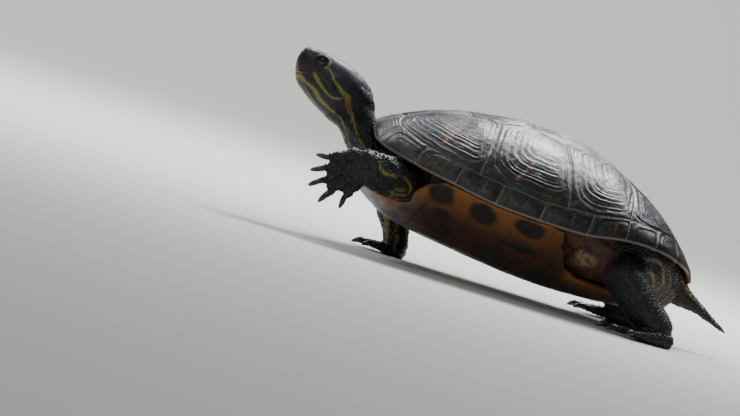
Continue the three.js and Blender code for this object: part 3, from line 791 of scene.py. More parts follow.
def tube_points(stations, sides):
    """A limb of oval sections with domed ends, as rows of points in world millimetres."""
    last = len(stations) - 1
    path = open_curve([s[0] for s in stations])
    widths = smooth_table([(i, s[1]) for i, s in enumerate(stations)])
    heights = smooth_table([(i, s[2]) for i, s in enumerate(stations)])
    turn = full_turn(sides)

    def ring(u, along, shrink):
        at = path(u)
        tangent = unit(path(min(u + 0.02, last)) - path(max(u - 0.02, 0)))
        side = unit(np.cross(tangent, (0, 0, 1)))
        top = np.cross(side, tangent)
        middle = at + tangent * along
        wide, high = float(widths(u)) * shrink, float(heights(u)) * shrink
        return middle + np.outer(np.cos(turn) * wide, side) + np.outer(np.sin(turn) * high, top)

    first_cap, last_cap = (min(station[1:]) * CAP_LENGTH for station in (stations[0], stations[-1]))
    closing = np.radians(np.arange(15, 91, 15))
    rows = [ring(0, -first_cap * math.sin(angle), math.cos(angle)) for angle in closing[::-1]]
    rows += [ring(k / TUBE_STEPS, 0, 1) for k in range(last * TUBE_STEPS + 1)]
    rows += [ring(last, last_cap * math.sin(angle), math.cos(angle)) for angle in closing]
    return np.array(rows) + SHIFT


def head_points():
    """The head from nape to snout, in world millimetres."""
    top, bottom, width = smooth_table(HEAD_TOP), smooth_table(HEAD_BOTTOM), smooth_table(HEAD_WIDTH)
    first, last = HEAD_TOP[0][0], HEAD_TOP[-1][0]
    forward = first + (last - first) * (1 - (1 - np.linspace(0, 1, 64)) ** 1.25)
    angle = full_turn(80)
    middle = (top(forward) + bottom(forward)) / 2 + 1
    cos, sin = np.cos(angle), np.sin(angle)
    reach = np.where(sin > 0, (top(forward) - middle)[:, None], (middle - bottom(forward))[:, None])
    x = np.sign(cos) * np.abs(cos) ** HEAD_SQUARE * width(forward)[:, None]
    z = np.sign(sin) * np.abs(sin) ** HEAD_SQUARE * reach + middle[:, None]
    rows = np.stack([x, np.broadcast_to(forward[:, None], x.shape), z], -1)
    first_cap = np.broadcast_to(rows[0].mean(0), rows[:1].shape)
    last_cap = np.broadcast_to(rows[-1].mean(0), rows[:1].shape)
    return head_to_world(np.concatenate([first_cap, rows, last_cap]))


def foot_frame(plan):
    at, forward, dorsal = (np.array(v, float) for v in plan[:3])
    ahead = forward / np.linalg.norm(forward)
    normal = unit(dorsal - ahead * (dorsal @ ahead))
    return at, np.cross(ahead, normal), ahead, normal


def foot_pieces(plan):
    """Palm, web and toes of one foot, as closed sheets of points in world millimetres."""
    at, side, ahead, normal = foot_frame(plan)
    angles, reaches, wrist, thick = np.radians(plan[3]), np.array(plan[4], float), plan[5], plan[6]
    last = len(angles) - 1
    toes = []
    share = np.concatenate([[-0.2], np.linspace(-0.1, TOE_ROUNDS, 15), [0.9, 0.94, 0.97, 0.985, 1.0]])
    turn = full_turn(20)
    for i, (angle, reach) in enumerate(zip(angles, reaches)):
        start = (-wrist + 2 * wrist * i / last) * 0.8
        x = start + (math.sin(angle) * reach - start) * share
        y = np.where(share < 0, share * wrist * 2, math.cos(angle) * reach * share)
        swell = FOOT_SWELL(share)
        close = np.sqrt(np.clip(1 - np.clip((share - TOE_ROUNDS) / (1 - TOE_ROUNDS), 0, 1) ** 2, 0, 1))
        close[0] = 0
        half = (1.2 + 2.0 * np.clip(swell, 0, 1)) * np.where(share < 0.3, 1 + (0.3 - share), 1) * close
        high = thick * swell * close * 0.98
        knuckle = 1 + 0.06 * np.cos(2 * math.pi * np.clip(share, 0, 1) * 3)
        centre = at + np.outer(x, side) + np.outer(y, ahead)
        ring = (
            centre[:, None] + (half * knuckle)[:, None, None] * (np.cos(turn)[:, None] * side)
            + (high * knuckle)[:, None, None] * (np.sin(turn)[:, None] * normal))
        toes.append(ring + SHIFT)
    # Palm and web: one plate, thick at the wrist and thin between the toes.
    columns = []
    for i, (angle, reach) in enumerate(zip(angles, reaches)):
        columns.append((i, angle, reach * 0.97, 0.55))
        if i < last:
            web = min(reach, reaches[i + 1]) * WEB_REACH
            columns.append((i + 0.5, (angle + angles[i + 1]) / 2, web, 0.35))
    order = np.array([c[0] for c in columns], float)
    fine = np.linspace(0, last, 41)
    angle = np.interp(fine, order, [c[1] for c in columns])
    reach = np.interp(fine, order, [c[2] for c in columns])
    full = np.interp(fine, order, [c[3] for c in columns])
    share = np.concatenate([np.linspace(-0.2, 0.9, 18), [0.95, 0.98, 1.0]])
    start = -wrist + 2 * wrist * fine / last
    x = start + (np.sin(angle) * reach - start) * share[:, None]
    y = np.where(share[:, None] < 0, share[:, None] * wrist * 2, np.cos(angle) * reach * share[:, None])
    web = 1 + (full - 1) * smoothstep(0.0, 0.6, share)[:, None]
    edge = np.sqrt(np.clip(1 - (2 * fine / last - 1) ** 8, 0, 1)) * np.sqrt(
        np.clip(1 - np.clip((share - 0.9) / 0.1, 0, 1) ** 2, 0, 1))[:, None]
    edge[0] = 0
    high = thick * FOOT_SWELL(share)[:, None] * web * edge
    flat = at + x[..., None] * side + y[..., None] * ahead
    upper = flat + high[..., None] * normal
    lower = flat - 0.9 * high[..., None] * normal
    palm = np.concatenate([upper, lower[:, ::-1]], 1) + SHIFT
    return toes + [palm]


def make_skin():
    """One skin over head, neck, trunk, limbs and tail."""
    trunk = shown("trunk_core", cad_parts["trunk"].data.copy())
    close_up(trunk)
    pieces = [trunk]
    sheets = [head_points(), tube_points(NECK, 56), tube_points(TAIL, 32)]
    sheets += [tube_points(leg, 40) for leg in (FORELEG_RAISED, FORELEG_STANDING, HIND_LEG, HIND_LEG_RIGHT)]
    for plan in FEET.values():
        sheets += foot_pieces(plan)
    for sheet in sheets:
        piece = sheet_object("flesh", sheet, True)
        close_up(piece)
        pieces.append(piece)
    body = joined("skin", pieces)
    remeshed(body)
    with editing(body.data) as bm:
        keep_largest(bm)
        relaxed(bm, 3)
        span_hidden_belt(bm)
        head_faces_finer(bm)
        bmesh.ops.recalc_face_normals(bm, faces=bm.faces)
    shade_smooth(body.data)
    return body


def keep_largest(bm):
    """Drops closed bubbles that the remesh left inside."""
    seen = set()
    groups = []
    for vert in bm.verts:
        if vert.index in seen:
            continue
        seen.add(vert.index)
        group, stack = [], [vert]
        while stack:
            here = stack.pop()
            group.append(here)
            for other in (edge.other_vert(here) for edge in here.link_edges):
                if other.index not in seen:
                    seen.add(other.index)
                    stack.append(other)
        groups.append(group)
    for group in sorted(groups, key=len)[:-1]:
        bmesh.ops.delete(bm, geom=group, context="VERTS")


BELT = (-50.0, 20.0)  # front and rear of the trunk's part that the shell hides all round


def span_hidden_belt(bm):
    """Takes the fine mesh of the trunk's hidden belt out and spans it with plain long faces."""
    low, high = ((y + SHIFT[1]) * MM for y in BELT)
    for y in (low, high):
        whole = bm.verts[:] + bm.edges[:] + bm.faces[:]
        bmesh.ops.bisect_plane(bm, geom=whole, dist=1e-6, plane_co=(0, y, 0), plane_no=(0, 1, 0))
    between = [f for f in bm.faces if low < f.calc_center_median().y < high]
    bmesh.ops.delete(bm, geom=between, context="FACES")
    bmesh.ops.bridge_loops(bm, edges=[e for e in bm.edges if e.is_boundary])


FINE_FROM = 6  # how far ahead of the nape the finer faces start


def head_faces_finer(bm):
    """Halves the faces of head and throat, where lids, nostrils and mouth are worked."""

    def forward(co):
        y, z = co.y / MM - SHIFT[1] - HEAD_BACK[1], co.z / MM - HEAD_BACK[2]
        return z * HEAD_SIN - y * HEAD_COS

    chosen = [e for e in bm.edges if min(forward(v.co) for v in e.verts) > FINE_FROM]
    bmesh.ops.subdivide_edges(bm, edges=chosen, cuts=1, use_grid_fill=True)


# ---- Head detail ----
NOSTRIL = (2.9, 42.6, 11.2)
MOUTH_LINE = [(46, -5.2), (42.5, -4.2), (36, -2.2), (30, -0.7), (25, 0.2), (21.5, -1.2), (19.5, -3.4)]
EAR_PLACE = (12.5, 1.5)  # the eardrum under the skin: forward, up
LID_EDGE = 6.4  # how far the lids reach over the skin from the middle of the eye
CLEAR_OF_FLOOR = 0.15  # the skin's least height, so that only the soles' flats come near the floor


def eye_frame(side):
    """One eye's middle, where it looks (outwards, a little forward and up), and forward and up beside it."""
    axis = unit(np.array([side * 1.0, 0.2, 0.1]))
    ahead = unit(np.array([0.0, 1.0, 0.0]) - axis * axis[1])
    up = np.cross(axis, ahead) * side
    centre = np.array([side * EYE_PLACE[0], EYE_PLACE[1], EYE_PLACE[2]])
    return centre, axis, ahead, up


FOLD_SPACING = 7.5


def sculpt_skin(obj):
    """Sinks the skin by the coat's depth and works in sockets, nostrils, mouth, ears and folds."""
    places = corners(obj)
    normals = corner_normals(obj)
    local = world_to_head(places)
    out = -COAT * np.ones(len(places))
    on_head = smoothstep(4, 12, local[:, 1]) * smoothstep(-26, -20, local[:, 2])
    out += on_head * (COAT - 0.1)
    side = np.abs(local[:, 0])
    forward, up = local[:, 1], local[:, 2]
    flank = np.stack([forward, up], -1)
    mouth = line_distance(flank, MOUTH_LINE)
    facing = smoothstep(2.0, 4.0, side) + smoothstep(40, 43, forward)
    out -= 0.75 * bump(mouth, 0.55) * np.clip(facing, 0, 1) * on_head
    # The upper beak stands a little over the lower.
    above = up - np.interp(forward, *np.transpose(MOUTH_LINE[::-1]))
    out += 0.3 * bump(above - 1.0, 0.8) * smoothstep(22, 30, forward) * on_head
    nostril = np.linalg.norm(np.stack([side, forward, up], -1) - NOSTRIL, axis=1)
    out -= 1.5 * bump(nostril, 0.95) * on_head
    out += 0.25 * bump(nostril - 1.7, 0.6) * on_head
    # The brow stands up over each eye.
    brow = np.hypot((forward - 30.5) / 5.5, (np.hypot(side - 6.6, up - 15.6)) / 2.4)
    out += 0.7 * bump(brow, 1.0) * on_head
    ear = np.linalg.norm(flank - EAR_PLACE, axis=1)
    out -= 0.55 * smoothstep(5.6, 3.6, ear) * smoothstep(6, 9, side) * on_head
    # Loose skin on the neck lies in folds across it.
    throat = smoothstep(8, -4, forward) * smoothstep(-75, -95, places[:, 1] - SHIFT[1])
    down = places[:, 1] * 0.55 + places[:, 2] * 0.9
    folds = np.sin(down * 2 * math.pi / FOLD_SPACING + 2.2 * ripple(places, 22, seed=31))
    out += throat * (0.42 * folds + 0.3 * ripple(places, 9, seed=32))
    limbs = (1 - on_head) * (1 - throat)
    out += limbs * 0.3 * ripple(places, 10, seed=33)
    places = places + normals * out[:, None]
    places[:, 2] = np.maximum(places[:, 2], CLEAR_OF_FLOOR)
    move_corners(obj, places)


def sink_sockets(obj):
    """Drops the skin round each eye behind the lids."""
    local = world_to_head(corners(obj))
    for which in (1, -1):
        centre, axis, _, _ = eye_frame(which)
        away = local - centre
        height = away @ axis
        lateral = np.linalg.norm(away - height[:, None] * axis, axis=1)
        facing = smoothstep(0.6, 2.4, height)
        drop = 2.6 * smoothstep(LID_EDGE - 0.7, LID_EDGE - 1.7, lateral) * facing
        local = local - drop[:, None] * axis
    move_corners(obj, head_to_world(local))


def surface_tree(obj):
    """A piece's surface, ready for finding the nearest place on it."""
    bm = bmesh.new()
    bm.from_mesh(obj.data)
    tree = BVHTree.FromBMesh(bm)
    bm.free()
    return tree


def nearest_on(tree, points):
    """The nearest places on a surface and its normals there, in millimetres."""
    found = [tree.find_nearest(Vector(point * MM)) for point in points]
    return np.array([hit[0] for hit in found]) / MM, np.array([hit[1] for hit in found])


LID_THICKNESS = 0.3
# Lid, from margin to skin: share of the way out, lift over the plain line, the upper lid's own extra lift.
LID_PROFILE = [
    (0.0, -0.12, 0.0), (0.05, 0.10, 0.0), (0.12, 0.30, 0.05), (0.20, 0.36, 0.12), (0.28, 0.22, 0.20),
    (0.34, 0.06, 0.22), (0.42, 0.10, 0.30), (0.52, 0.24, 0.34), (0.62, 0.20, 0.28), (0.72, 0.08, 0.18),
    (0.82, 0.06, 0.08), (0.92, -0.02, 0.0), (1.0, -0.25, 0.0),
]


def make_eyelids(tree):
    """The lids: a ring round each eye, from the eyeball out over the skin, with one crease."""
    rings = []
    angle = full_turn(96)
    for which in (1, -1):
        centre, axis, ahead, up = eye_frame(which)
        origin = head_to_world(centre)
        out, fore, rise = (head_to_world(v) - head_to_world(np.zeros(3)) for v in (axis, ahead, up))
        # The opening is a little longer than high and pointed at both corners.
        opening = 3.05 * (1 + 0.07 * np.cos(2 * angle)) + 0.1 * np.cos(angle)
        upper = np.clip(np.sin(angle), 0, 1)[:, None]
        rows = []
        for share, lift, brow in LID_PROFILE:
            lateral = opening + (LID_EDGE - opening) * share
            flat = origin + np.outer(lateral * np.cos(angle), fore) + np.outer(lateral * np.sin(angle), rise)
            ball = np.sqrt((EYE_RADIUS + 0.05) ** 2 - np.minimum(lateral, 4.3) ** 2)
            on_ball = flat + np.outer(ball, out)
            on_skin, facing = nearest_on(tree, flat + out * 3.0)
            blend = smoothstep(0.1, 0.62, share)
            ball_way = unit(on_ball - origin)
            way = unit(ball_way * (1 - blend) + facing * blend)
            rows.append(on_ball * (1 - blend) + on_skin * blend + way * (lift + brow * upper))
        ring = sheet_object("lid", np.array(rows), True)
        with editing(ring.data) as bm:
            bmesh.ops.remove_doubles(bm, verts=bm.verts, dist=0.001 * MM)
            bmesh.ops.recalc_face_normals(bm, faces=bm.faces)
            if sum((f.normal for f in bm.faces), Vector()).dot(Vector(out)) < 0:
                bmesh.ops.reverse_faces(bm, faces=bm.faces)
            bmesh.ops.solidify(bm, geom=bm.faces[:], thickness=LID_THICKNESS * MM)
        shade_smooth(ring.data)
        rings.append(ring)
    return joined("eyelids", rings)


# Lines painted on head and neck, in the head frame on the left side and mirrored to the right.
# Each point: half width in plan, forward, up, then the line's half width and how orange it is.
HEAD_LINES = [
    # From behind the eye down the side of the neck, widening to a dull orange patch.
    [
        (12.2, 25.9, 8.7, 0.5, 0), (13.9, 21.7, 6, 0.7, 0), (14.8, 18.6, 3.2, 0.9, 0),
        (15.4, 13.8, 0.6, 1.2, 0.1), (15.6, 9.2, -1.6, 1.5, 0.3), (15.3, 5.3, -3.5, 2.1, 0.7),
        (14.9, 3.5, -6, 2.1, 1), (14.4, 1.3, -8.8, 1.7, 0.9), (13.3, -2.7, -11.9, 1.1, 0.6),
        (13.4, -5.9, -15.9, 0.8, 0.4), (13.4, -10.6, -20.2, 0.7, 0.3), (14.5, -20.3, -26.7, 0.5, 0.2),
        (15.3, -31, -29.8, 0.4, 0.2),
    ],
    # From under the eye, past the corner of the mouth, to join the first.
    [
        (11.6, 31.1, 0.9, 1.2, 0), (12.9, 27, -2.2, 1.3, 0), (13.7, 23.7, -4.2, 0.9, 0),
        (14.6, 18.5, -6.5, 0.75, 0), (15, 14, -7.3, 0.7, 0), (15.4, 9, -5.4, 0.8, 0.2),
    ],
    # From the chin along the lower jaw and down the throat.
    [
        (6.2, 40, -4.2, 1.9, 0), (6.8, 38.2, -4.9, 2.3, 0), (8.6, 34.5, -6.4, 1.2, 0.1),
        (10.6, 30.4, -7.3, 1.0, 0.1), (12, 25.7, -8.8, 1.6, 0), (12, 21.3, -11.6, 1.7, 0),
        (12.4, 15.7, -13.7, 1.4, 0.1), (12.5, 11.2, -14.8, 1.1, 0.2), (12.3, 5.8, -16, 0.8, 0.2),
        (11.8, 2.4, -17.1, 0.7, 0.2), (9.6, -1.3, -20.3, 0.6, 0.2), (8.1, -4.4, -23.8, 0.6, 0.2),
        (9, -15.2, -31.7, 0.6, 0.2), (10, -26.5, -37.7, 0.6, 0.2),
    ],
    # Fine lines of the throat.
    [
        (8.2, 32.6, -9.2, 0.4, 0.3), (8, 28.9, -11.8, 0.5, 0.2), (7.7, 25.4, -14, 0.5, 0.2),
        (6.8, 19, -17, 0.5, 0.2),
    ],
    [
        (6.5, 15.7, -18.1, 0.5, 0.1), (6.2, 10.9, -19.6, 0.6, 0.1), (5.8, 5.6, -21, 0.5, 0.1),
        (3.8, 0.7, -22.8, 0.5, 0.1), (1.8, -3.1, -25.7, 0.5, 0.1), (2.5, -13, -34, 0.5, 0.1),
    ],
    [(2, 33, -12, 0.4, 0.2), (2.6, 25, -15.8, 0.5, 0.1), (2.4, 15, -19.4, 0.5, 0.1), (2, 6, -22, 0.4, 0.1)],
    # Red-brown streak before the corner of the mouth.
    [(10.2, 34.9, 3.4, 0.2, 1), (12.2, 29.8, 2.6, 0.3, 1), (13.4, 25.8, 1.9, 0.2, 1)],
]
# Lines on limbs, tail and the folds round them, in the solids' own world frame; the flag mirrors a line.
BODY_LINES = [
    (True, [
        (73.5, -107.2, 59.6, 0.6, 0.3), (74.8, -103.2, 54, 1.1, 0.2), (73.3, -97.1, 53.3, 1.1, 0.3),
        (70.1, -91, 54.1, 0.7, 0.2),
    ]),
    (True, [
        (69.4, -88, 54, 0.8, 0.2), (66, -84, 52, 1.1, 0.2), (62, -81.6, 47.4, 1.1, 0.3),
        (62.1, -84.6, 42.8, 1.2, 0.5), (66, -90.5, 41.8, 1.1, 0.4), (69.4, -94, 43.4, 0.8, 0.3),
    ]),
    (True, [(68.3, -90.8, 45.2, 1.3, 0.8), (67.3, -88.2, 45, 1.7, 0.8), (65.6, -86.6, 46.6, 1.0, 0.7)]),
    (True, [
        (67, -95.5, 40.4, 0.5, 0), (62, -88, 38.6, 0.6, 0), (58, -82, 38.6, 0.6, 0),
        (57, -78.6, 42, 0.5, 0),
    ]),
    (True, [(35.7, -83.4, 36.9, 0.6, 0.1), (39.8, -78.3, 37.1, 0.7, 0.1), (46, -71.4, 38, 0.6, 0.1)]),
    (True, [
        (62, 76, 50, 0.7, 0.4), (56, 86, 50, 1.2, 0.3), (49, 91, 43, 1.4, 0.2), (45, 93, 35, 1.3, 0.3),
        (48, 90, 28, 1.2, 0.6),
    ]),
    (True, [
        (66, 74, 44, 0.8, 0.3), (60, 82, 41, 1.3, 0.2), (55, 86, 35, 1.4, 0.2), (52, 87, 29, 1.5, 0.7),
        (49, 88, 25, 1.4, 1),
    ]),
    (True, [
        (42, 92, 48, 0.6, 0.4), (37, 96, 42, 0.9, 0.4), (34, 97, 34, 1.0, 0.5), (36, 94, 27, 0.7, 0.6),
    ]),
    (True, [
        (29, 98, 46, 0.5, 0.4), (25, 100, 39, 0.8, 0.5), (24, 99, 31, 0.9, 0.6), (27, 95, 26, 0.6, 0.7),
    ]),
    (True, [
        (16, 98, 44, 0.5, 0.4), (13, 104, 37, 0.8, 0.6), (10, 106, 29, 0.9, 0.8), (8, 104, 25, 0.7, 0.9),
    ]),
    (True, [
        (8, 99, 48, 0.6, 0.3), (6.4, 106, 41, 0.9, 0.2), (4.6, 114.2, 34.6, 0.9, 0),
        (3, 122.3, 30, 0.75, 0), (2, 131.8, 24.9, 0.6, 0), (1, 141.9, 18.3, 0.45, 0),
    ]),
    (False, [(0, 104, 28, 0.5, 0.1), (0, 114, 25.5, 0.5, 0), (0, 130, 21.5, 0.4, 0)]),
    # Standing foreleg: three lines down its inner side, two down the outer.
    (False, [
        (-45, -88, 36, 1.5, 0.3), (-48.6, -84, 28, 1.9, 0.3), (-47.4, -81.7, 20.9, 2.2, 0.3),
        (-44, -79, 10, 1.9, 0.4), (-42, -80, 4, 1.0, 0.4),
    ]),
    (False, [
        (-46, -78, 33, 0.5, 0.3), (-44.4, -74.5, 22, 1.0, 0.3), (-41, -71.5, 12, 1.3, 0.4),
        (-40, -71, 5, 0.9, 0.3),
    ]),
    (False, [
        (-51, -70, 34, 1.2, 0.2), (-48, -67, 25, 1.9, 0.2), (-44, -62.5, 14, 2.0, 0.2),
        (-44, -61, 5, 1.2, 0.3),
    ]),
    (False, [(-64, -84, 33, 0.8, 0), (-62, -79, 22, 1.0, 0), (-57, -74, 10, 0.8, 0)]),
    (False, [
        (-60, -91, 40, 0.8, 0), (-60, -86, 28, 0.9, 0), (-55.6, -80, 14, 0.8, 0), (-53, -82, 6, 0.5, 0),
    ]),
    # Raised foreleg: lines on the side turned to the neck.
    (False, [
        (48, -97, 50, 0.9, 0), (56, -105, 50, 1.0, 0), (60, -115, 49, 0.9, 0), (62, -125, 44, 0.6, 0),
    ]),
    (False, [(52, -92, 40, 0.8, 0), (59, -103, 41, 0.9, 0), (62.5, -115, 42, 0.8, 0)]),
    # Hind legs: the hidden back of thigh and shank.
    (True, [(58, 78, 30, 0.8, 0.3), (66, 85, 24, 1.0, 0.2), (74, 94, 14, 0.9, 0.1), (76, 99, 7, 0.6, 0)]),
    (True, [(66, 84, 40, 0.6, 0.3), (76, 88, 32, 0.7, 0.2), (86, 95, 20, 0.6, 0.1)]),
]


STEPS_A_STATION = 6
LINE_REACH = 6  # how far from a line its distance is still worked out


def line_fields(places, tree):
    """Signed distance in mm to the painted lines, and how orange the nearest is, at places in mm."""
    lines = []
    for mirrored, on_head, line in [(True, True, line) for line in HEAD_LINES] + [
            (mirrored, False, line) for mirrored, line in BODY_LINES]:
        for which in (1, -1) if mirrored else (1,):
            row = np.array(line, float)
            row[:, 0] *= which
            row[:, :3] = head_to_world(row[:, :3]) if on_head else row[:, :3] + SHIFT
            lines.append(row)
    best = np.full(len(places), OUT_OF_REACH)
    tint = np.zeros(len(places))
    for row in lines:
        last = len(row) - 1
        along = np.linspace(0, last, 1 + STEPS_A_STATION * last)
        laid, _ = nearest_on(tree, open_curve(row[:, :3])(along))
        half = np.interp(along, range(last + 1), row[:, 3])
        orange = np.interp(along, range(last + 1), row[:, 4])
        low, high = laid.min(0) - LINE_REACH, laid.max(0) + LINE_REACH
        near = np.flatnonzero(((places > low) & (places < high)).all(1))
        for k in range(len(laid) - 1):
            span = laid[k + 1] - laid[k]
            away = places[near] - laid[k]
            t = np.clip(away @ span / max(span @ span, 1e-9), 0, 1)
            gap = np.linalg.norm(away - t[:, None] * span, axis=1) - half[k] * (1 - t) - half[k + 1] * t
            closer = gap < best[near]
            best[near[closer]] = gap[closer]
            tint[near[closer]] = orange[k]
    wander = 0.22 * ripple(places, 3.2, seed=41) + 0.12 * ripple(places, 1.3, seed=42)
    return {"stripe": best + wander, "orange": tint}


# Tan patch in the fold before the thigh and the dark line round it, in the solids' world frame: side to
# side is left out, so each point is (y, z).
FOLD_PATCH = [(26.3, 41.5), (30, 36), (35, 32.6), (42.2, 32.4), (46, 37), (44.7, 40.5), (38, 43), (31, 43.5)]


def patch_fields(places):
    """Where the skin is smooth as on the head, beak, pale on brow and lids, tan or inked in the folds.
    Painted highlights on snout and beak, painted shade in the fold's crease and a painted sheen on crown and
    nape are laid in too.

    The sizes in it are millimetres in the head frame or in the solids' own world frame.
    """
    local = world_to_head(places)
    smooth = smoothstep(-8, 6, local[:, 1] + 0.6 * local[:, 2])
    beak = smoothstep(33, 38, local[:, 1] + 0.25 * np.abs(local[:, 2] + 3)) * smoothstep(7, 2, local[:, 2])
    pale = np.zeros(len(places))
    for which in (1, -1):
        centre, axis, ahead, up = eye_frame(which)
        away = local - centre
        height = away @ axis
        aside = np.hypot(away @ ahead, away @ up)
        angle = np.degrees(np.arctan2(away @ up, away @ ahead))
        # Brow band over the front half of the eye, a rim behind the eye and one below its rear half.
        for toward, spread, ring, width, strength in (
                (84, 44, 5.3, 1.2, 1.0), (170, 20, 4.6, 0.55, 1.0), (-148, 12, 4.8, 0.5, 0.9),
                (-60, 50, 4.3, 0.3, 0.1)):
            turned = np.abs((angle - toward + 180) % 360 - 180)
            ends = smoothstep(spread + 12, spread - 12, turned)
            pale += strength * bump(aside - ring, width) * ends * (height > 0)
    # Painted highlights: a small pale mark on the edge of the upper beak at its front, and a pale band along
    # the ridge of the snout.
    pale += 0.3 * bump(line_distance(local[:, 1:], [(42.2, -3.2), (41, -1.2)]), 0.5) * (local[:, 1] > 36)
    pale += 0.35 * smoothstep(11.5, 13.6, local[:, 2]) * smoothstep(33, 38, local[:, 1])
    # A painted sheen, pale blue-grey, on the crown and the nape, where the skin is also made dull.
    painted_crown_sheen = smoothstep(4.5, 11, local[:, 2] + 1.2 * ripple(places, 5, seed=56))
    painted_crown_sheen = painted_crown_sheen * smoothstep(33, 24, local[:, 1]) * smoothstep(-16, -4, local[:, 1])
    painted_crown_sheen = painted_crown_sheen * (0.62 + 0.38 * ripple(places, 2.2, seed=57))
    # The pocket before the thigh, and the rump.
    plain = places - SHIFT
    flank = smoothstep(-8, 14, plain[:, 1]) * smoothstep(56, 46, plain[:, 1]) * (np.abs(plain[:, 0]) > 40)
    wave = 1.5 * ripple(places, 9, seed=51)
    outline = line_distance(plain[:, 1:], FOLD_PATCH + FOLD_PATCH[:1]) + 0.8 * wave
    centre_away = np.hypot(plain[:, 1] - 36, (plain[:, 2] - 38) * 1.6)
    cloud = 0.5 + 0.4 * ripple(places, 16, seed=52)
    tan = flank * np.maximum(cloud, smoothstep(10.5, 6, centre_away + 1.5 * wave))
    rump = smoothstep(74, 86, plain[:, 1]) * smoothstep(14, 24, plain[:, 2]) * (np.abs(plain[:, 0]) < 60)
    rump = rump * smoothstep(118, 104, plain[:, 1])
    tan = np.maximum(tan, rump * (0.14 + 0.14 * ripple(places, 14, seed=55)))
    mottle = 0.7 + 0.3 * ripple(places, 4, seed=58)
    pale += 0.42 * flank * smoothstep(11, 5, centre_away + 1.6 * wave) * mottle
    ink_and_crease_shade = bump(outline, 0.8) * smoothstep(-0.6, 0.2, ripple(places, 12, seed=54))
    # A dark line along the fold's crease is painted shade.
    crease = np.abs(plain[:, 2] - 38.5 + 2.4 * wave)
    ink_and_crease_shade = np.maximum(ink_and_crease_shade, 0.8 * bump(crease, 0.7) * bump(plain[:, 1] - 41, 3))
    blots = smoothstep(0.25, 0.6, ripple(places, 7, seed=53))
    ink_and_crease_shade = np.maximum(flank * np.maximum(ink_and_crease_shade, 0.7 * blots), 0.8 * rump * blots)
    return {
        "head": smooth, "beak": beak, "pale": np.clip(pale, 0, 1), "tan": np.clip(tan, 0, 1),
        "ink_and_crease_shade": np.clip(ink_and_crease_shade, 0, 1), "painted_crown_sheen": np.clip(painted_crown_sheen, 0, 1)}


SCALE_BEAD = 0.12  # how strongly the fine beads show on a scale, where bare skin has 1


def markings(places, tree):
    """Everything that is painted on skin and scales alike."""
    return line_fields(places, tree) | patch_fields(places)


def paint_skin(obj, tree):
    places = corners(obj)
    plain = {"bead": np.ones(len(places)), "tone": np.full(len(places), 0.5)}
    for name, values in (markings(places, tree) | plain).items():
        add_attribute(obj, name, values)


# ---- Scales: small plates over limbs, neck and tail, each fitted to its neighbours ----
LEG_STATIONS = dict(zip(FEET, (FORELEG_RAISED, FORELEG_STANDING, HIND_LEG, HIND_LEG_RIGHT)))
SCALE_SIDES = 9
SCALE_FILL = 0.93  # how much of the room between its neighbours a scale takes
BAKE_PATCH = 0.0015  # half width of a scale's patch on the unwrapped skin
FOOT_COVERED = 30  # how far ahead of the wrist a leg's middle line goes on
TAIL_BARE_FROM = 140.5  # the tail's very tip has no scales
LAP = 0.74  # a scale's raised rim, as a share of its foot
SCALE_SUNK = 0.18  # how far a scale's foot is pressed into the skin
SCALE_CLEAR = 0.06  # a scale's least height over the floor


def scale_zones():
    """Each covered part: its middle line, how far from the line it reaches, spacing at its start and end."""
    zones = {}
    for leg, stations in LEG_STATIONS.items():
        at, _, ahead, _ = foot_frame(FEET[leg])
        line = np.array([s[0] for s in stations] + [at, at + ahead * FOOT_COVERED])
        zones[leg] = (line + SHIFT, 18.5, 1.75, 2.2)
    zones["neck"] = (np.array([s[0] for s in NECK[1:]] + [(0, -133, 97)]) + SHIFT, 19, 1.7, 1.35)
    zones["tail"] = (np.array([s[0] for s in TAIL[1:]]) + SHIFT, 13, 1.9, 1.4)
    zones["rump"] = (np.array([(-38, 90, 37), (38, 90, 37)]) + SHIFT, 17, 1.8, 1.8)
    return zones


def along_line(points, line):
    """For each point: distance to the line, share of the way along it, and the line's direction there."""
    spans = np.diff(line, axis=0)
    lengths = np.linalg.norm(spans, axis=1)
    before = np.concatenate([[0], np.cumsum(lengths)])
    best = np.full(len(points), NO_DISTANCE_YET)
    share = np.zeros(len(points))
    way = np.zeros((len(points), 3))
    for k, span in enumerate(spans):
        t = np.clip((points - line[k]) @ span / lengths[k] ** 2, 0, 1)
        gap = np.linalg.norm(points - line[k] - t[:, None] * span, axis=1)
        closer = gap < best
        best[closer] = gap[closer]
        share[closer] = ((before[k] + t * lengths[k]) / before[-1])[closer]
        way[closer] = span / lengths[k]
    return best, share, way


def thinned(points, spacing, draw):
    """Indices of points taken in random order, none nearer to an earlier one than its own spacing."""
    cell = float(spacing.max())
    keys = np.floor(points / cell).astype(int).tolist()
    places, least = points.tolist(), (spacing ** 2).tolist()
    taken = {}

    def free(i):
        x, y, z = places[i]
        kx, ky, kz = keys[i]
        for a in (kx - 1, kx, kx + 1):
            for b in (ky - 1, ky, ky + 1):
                for c in (kz - 1, kz, kz + 1):
                    for px, py, pz in taken.get((a, b, c), ()):
                        if (px - x) ** 2 + (py - y) ** 2 + (pz - z) ** 2 < least[i]:
                            return False
        return True

    kept = []
    for i in draw.permutation(len(points)).tolist():
        if free(i):
            kept.append(i)
            taken.setdefault(tuple(keys[i]), []).append(places[i])
    return np.array(kept)


def unwrapped_flesh():
    """The flesh solids as one coarse mesh laid out flat, for the scales' places in the bake."""
    flesh = joined("flat_flesh", [shown("flat_" + node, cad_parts[node].data.copy()) for node in FLESH])
    bpy.context.view_layer.objects.active = flesh
    flesh.select_set(True)
    bpy.ops.object.mode_set(mode="EDIT")
    bpy.ops.mesh.select_all(action="SELECT")
    bpy.ops.uv.smart_project(angle_limit=math.radians(66), island_margin=0.002)
    bpy.ops.object.mode_set(mode="OBJECT")
    return flesh


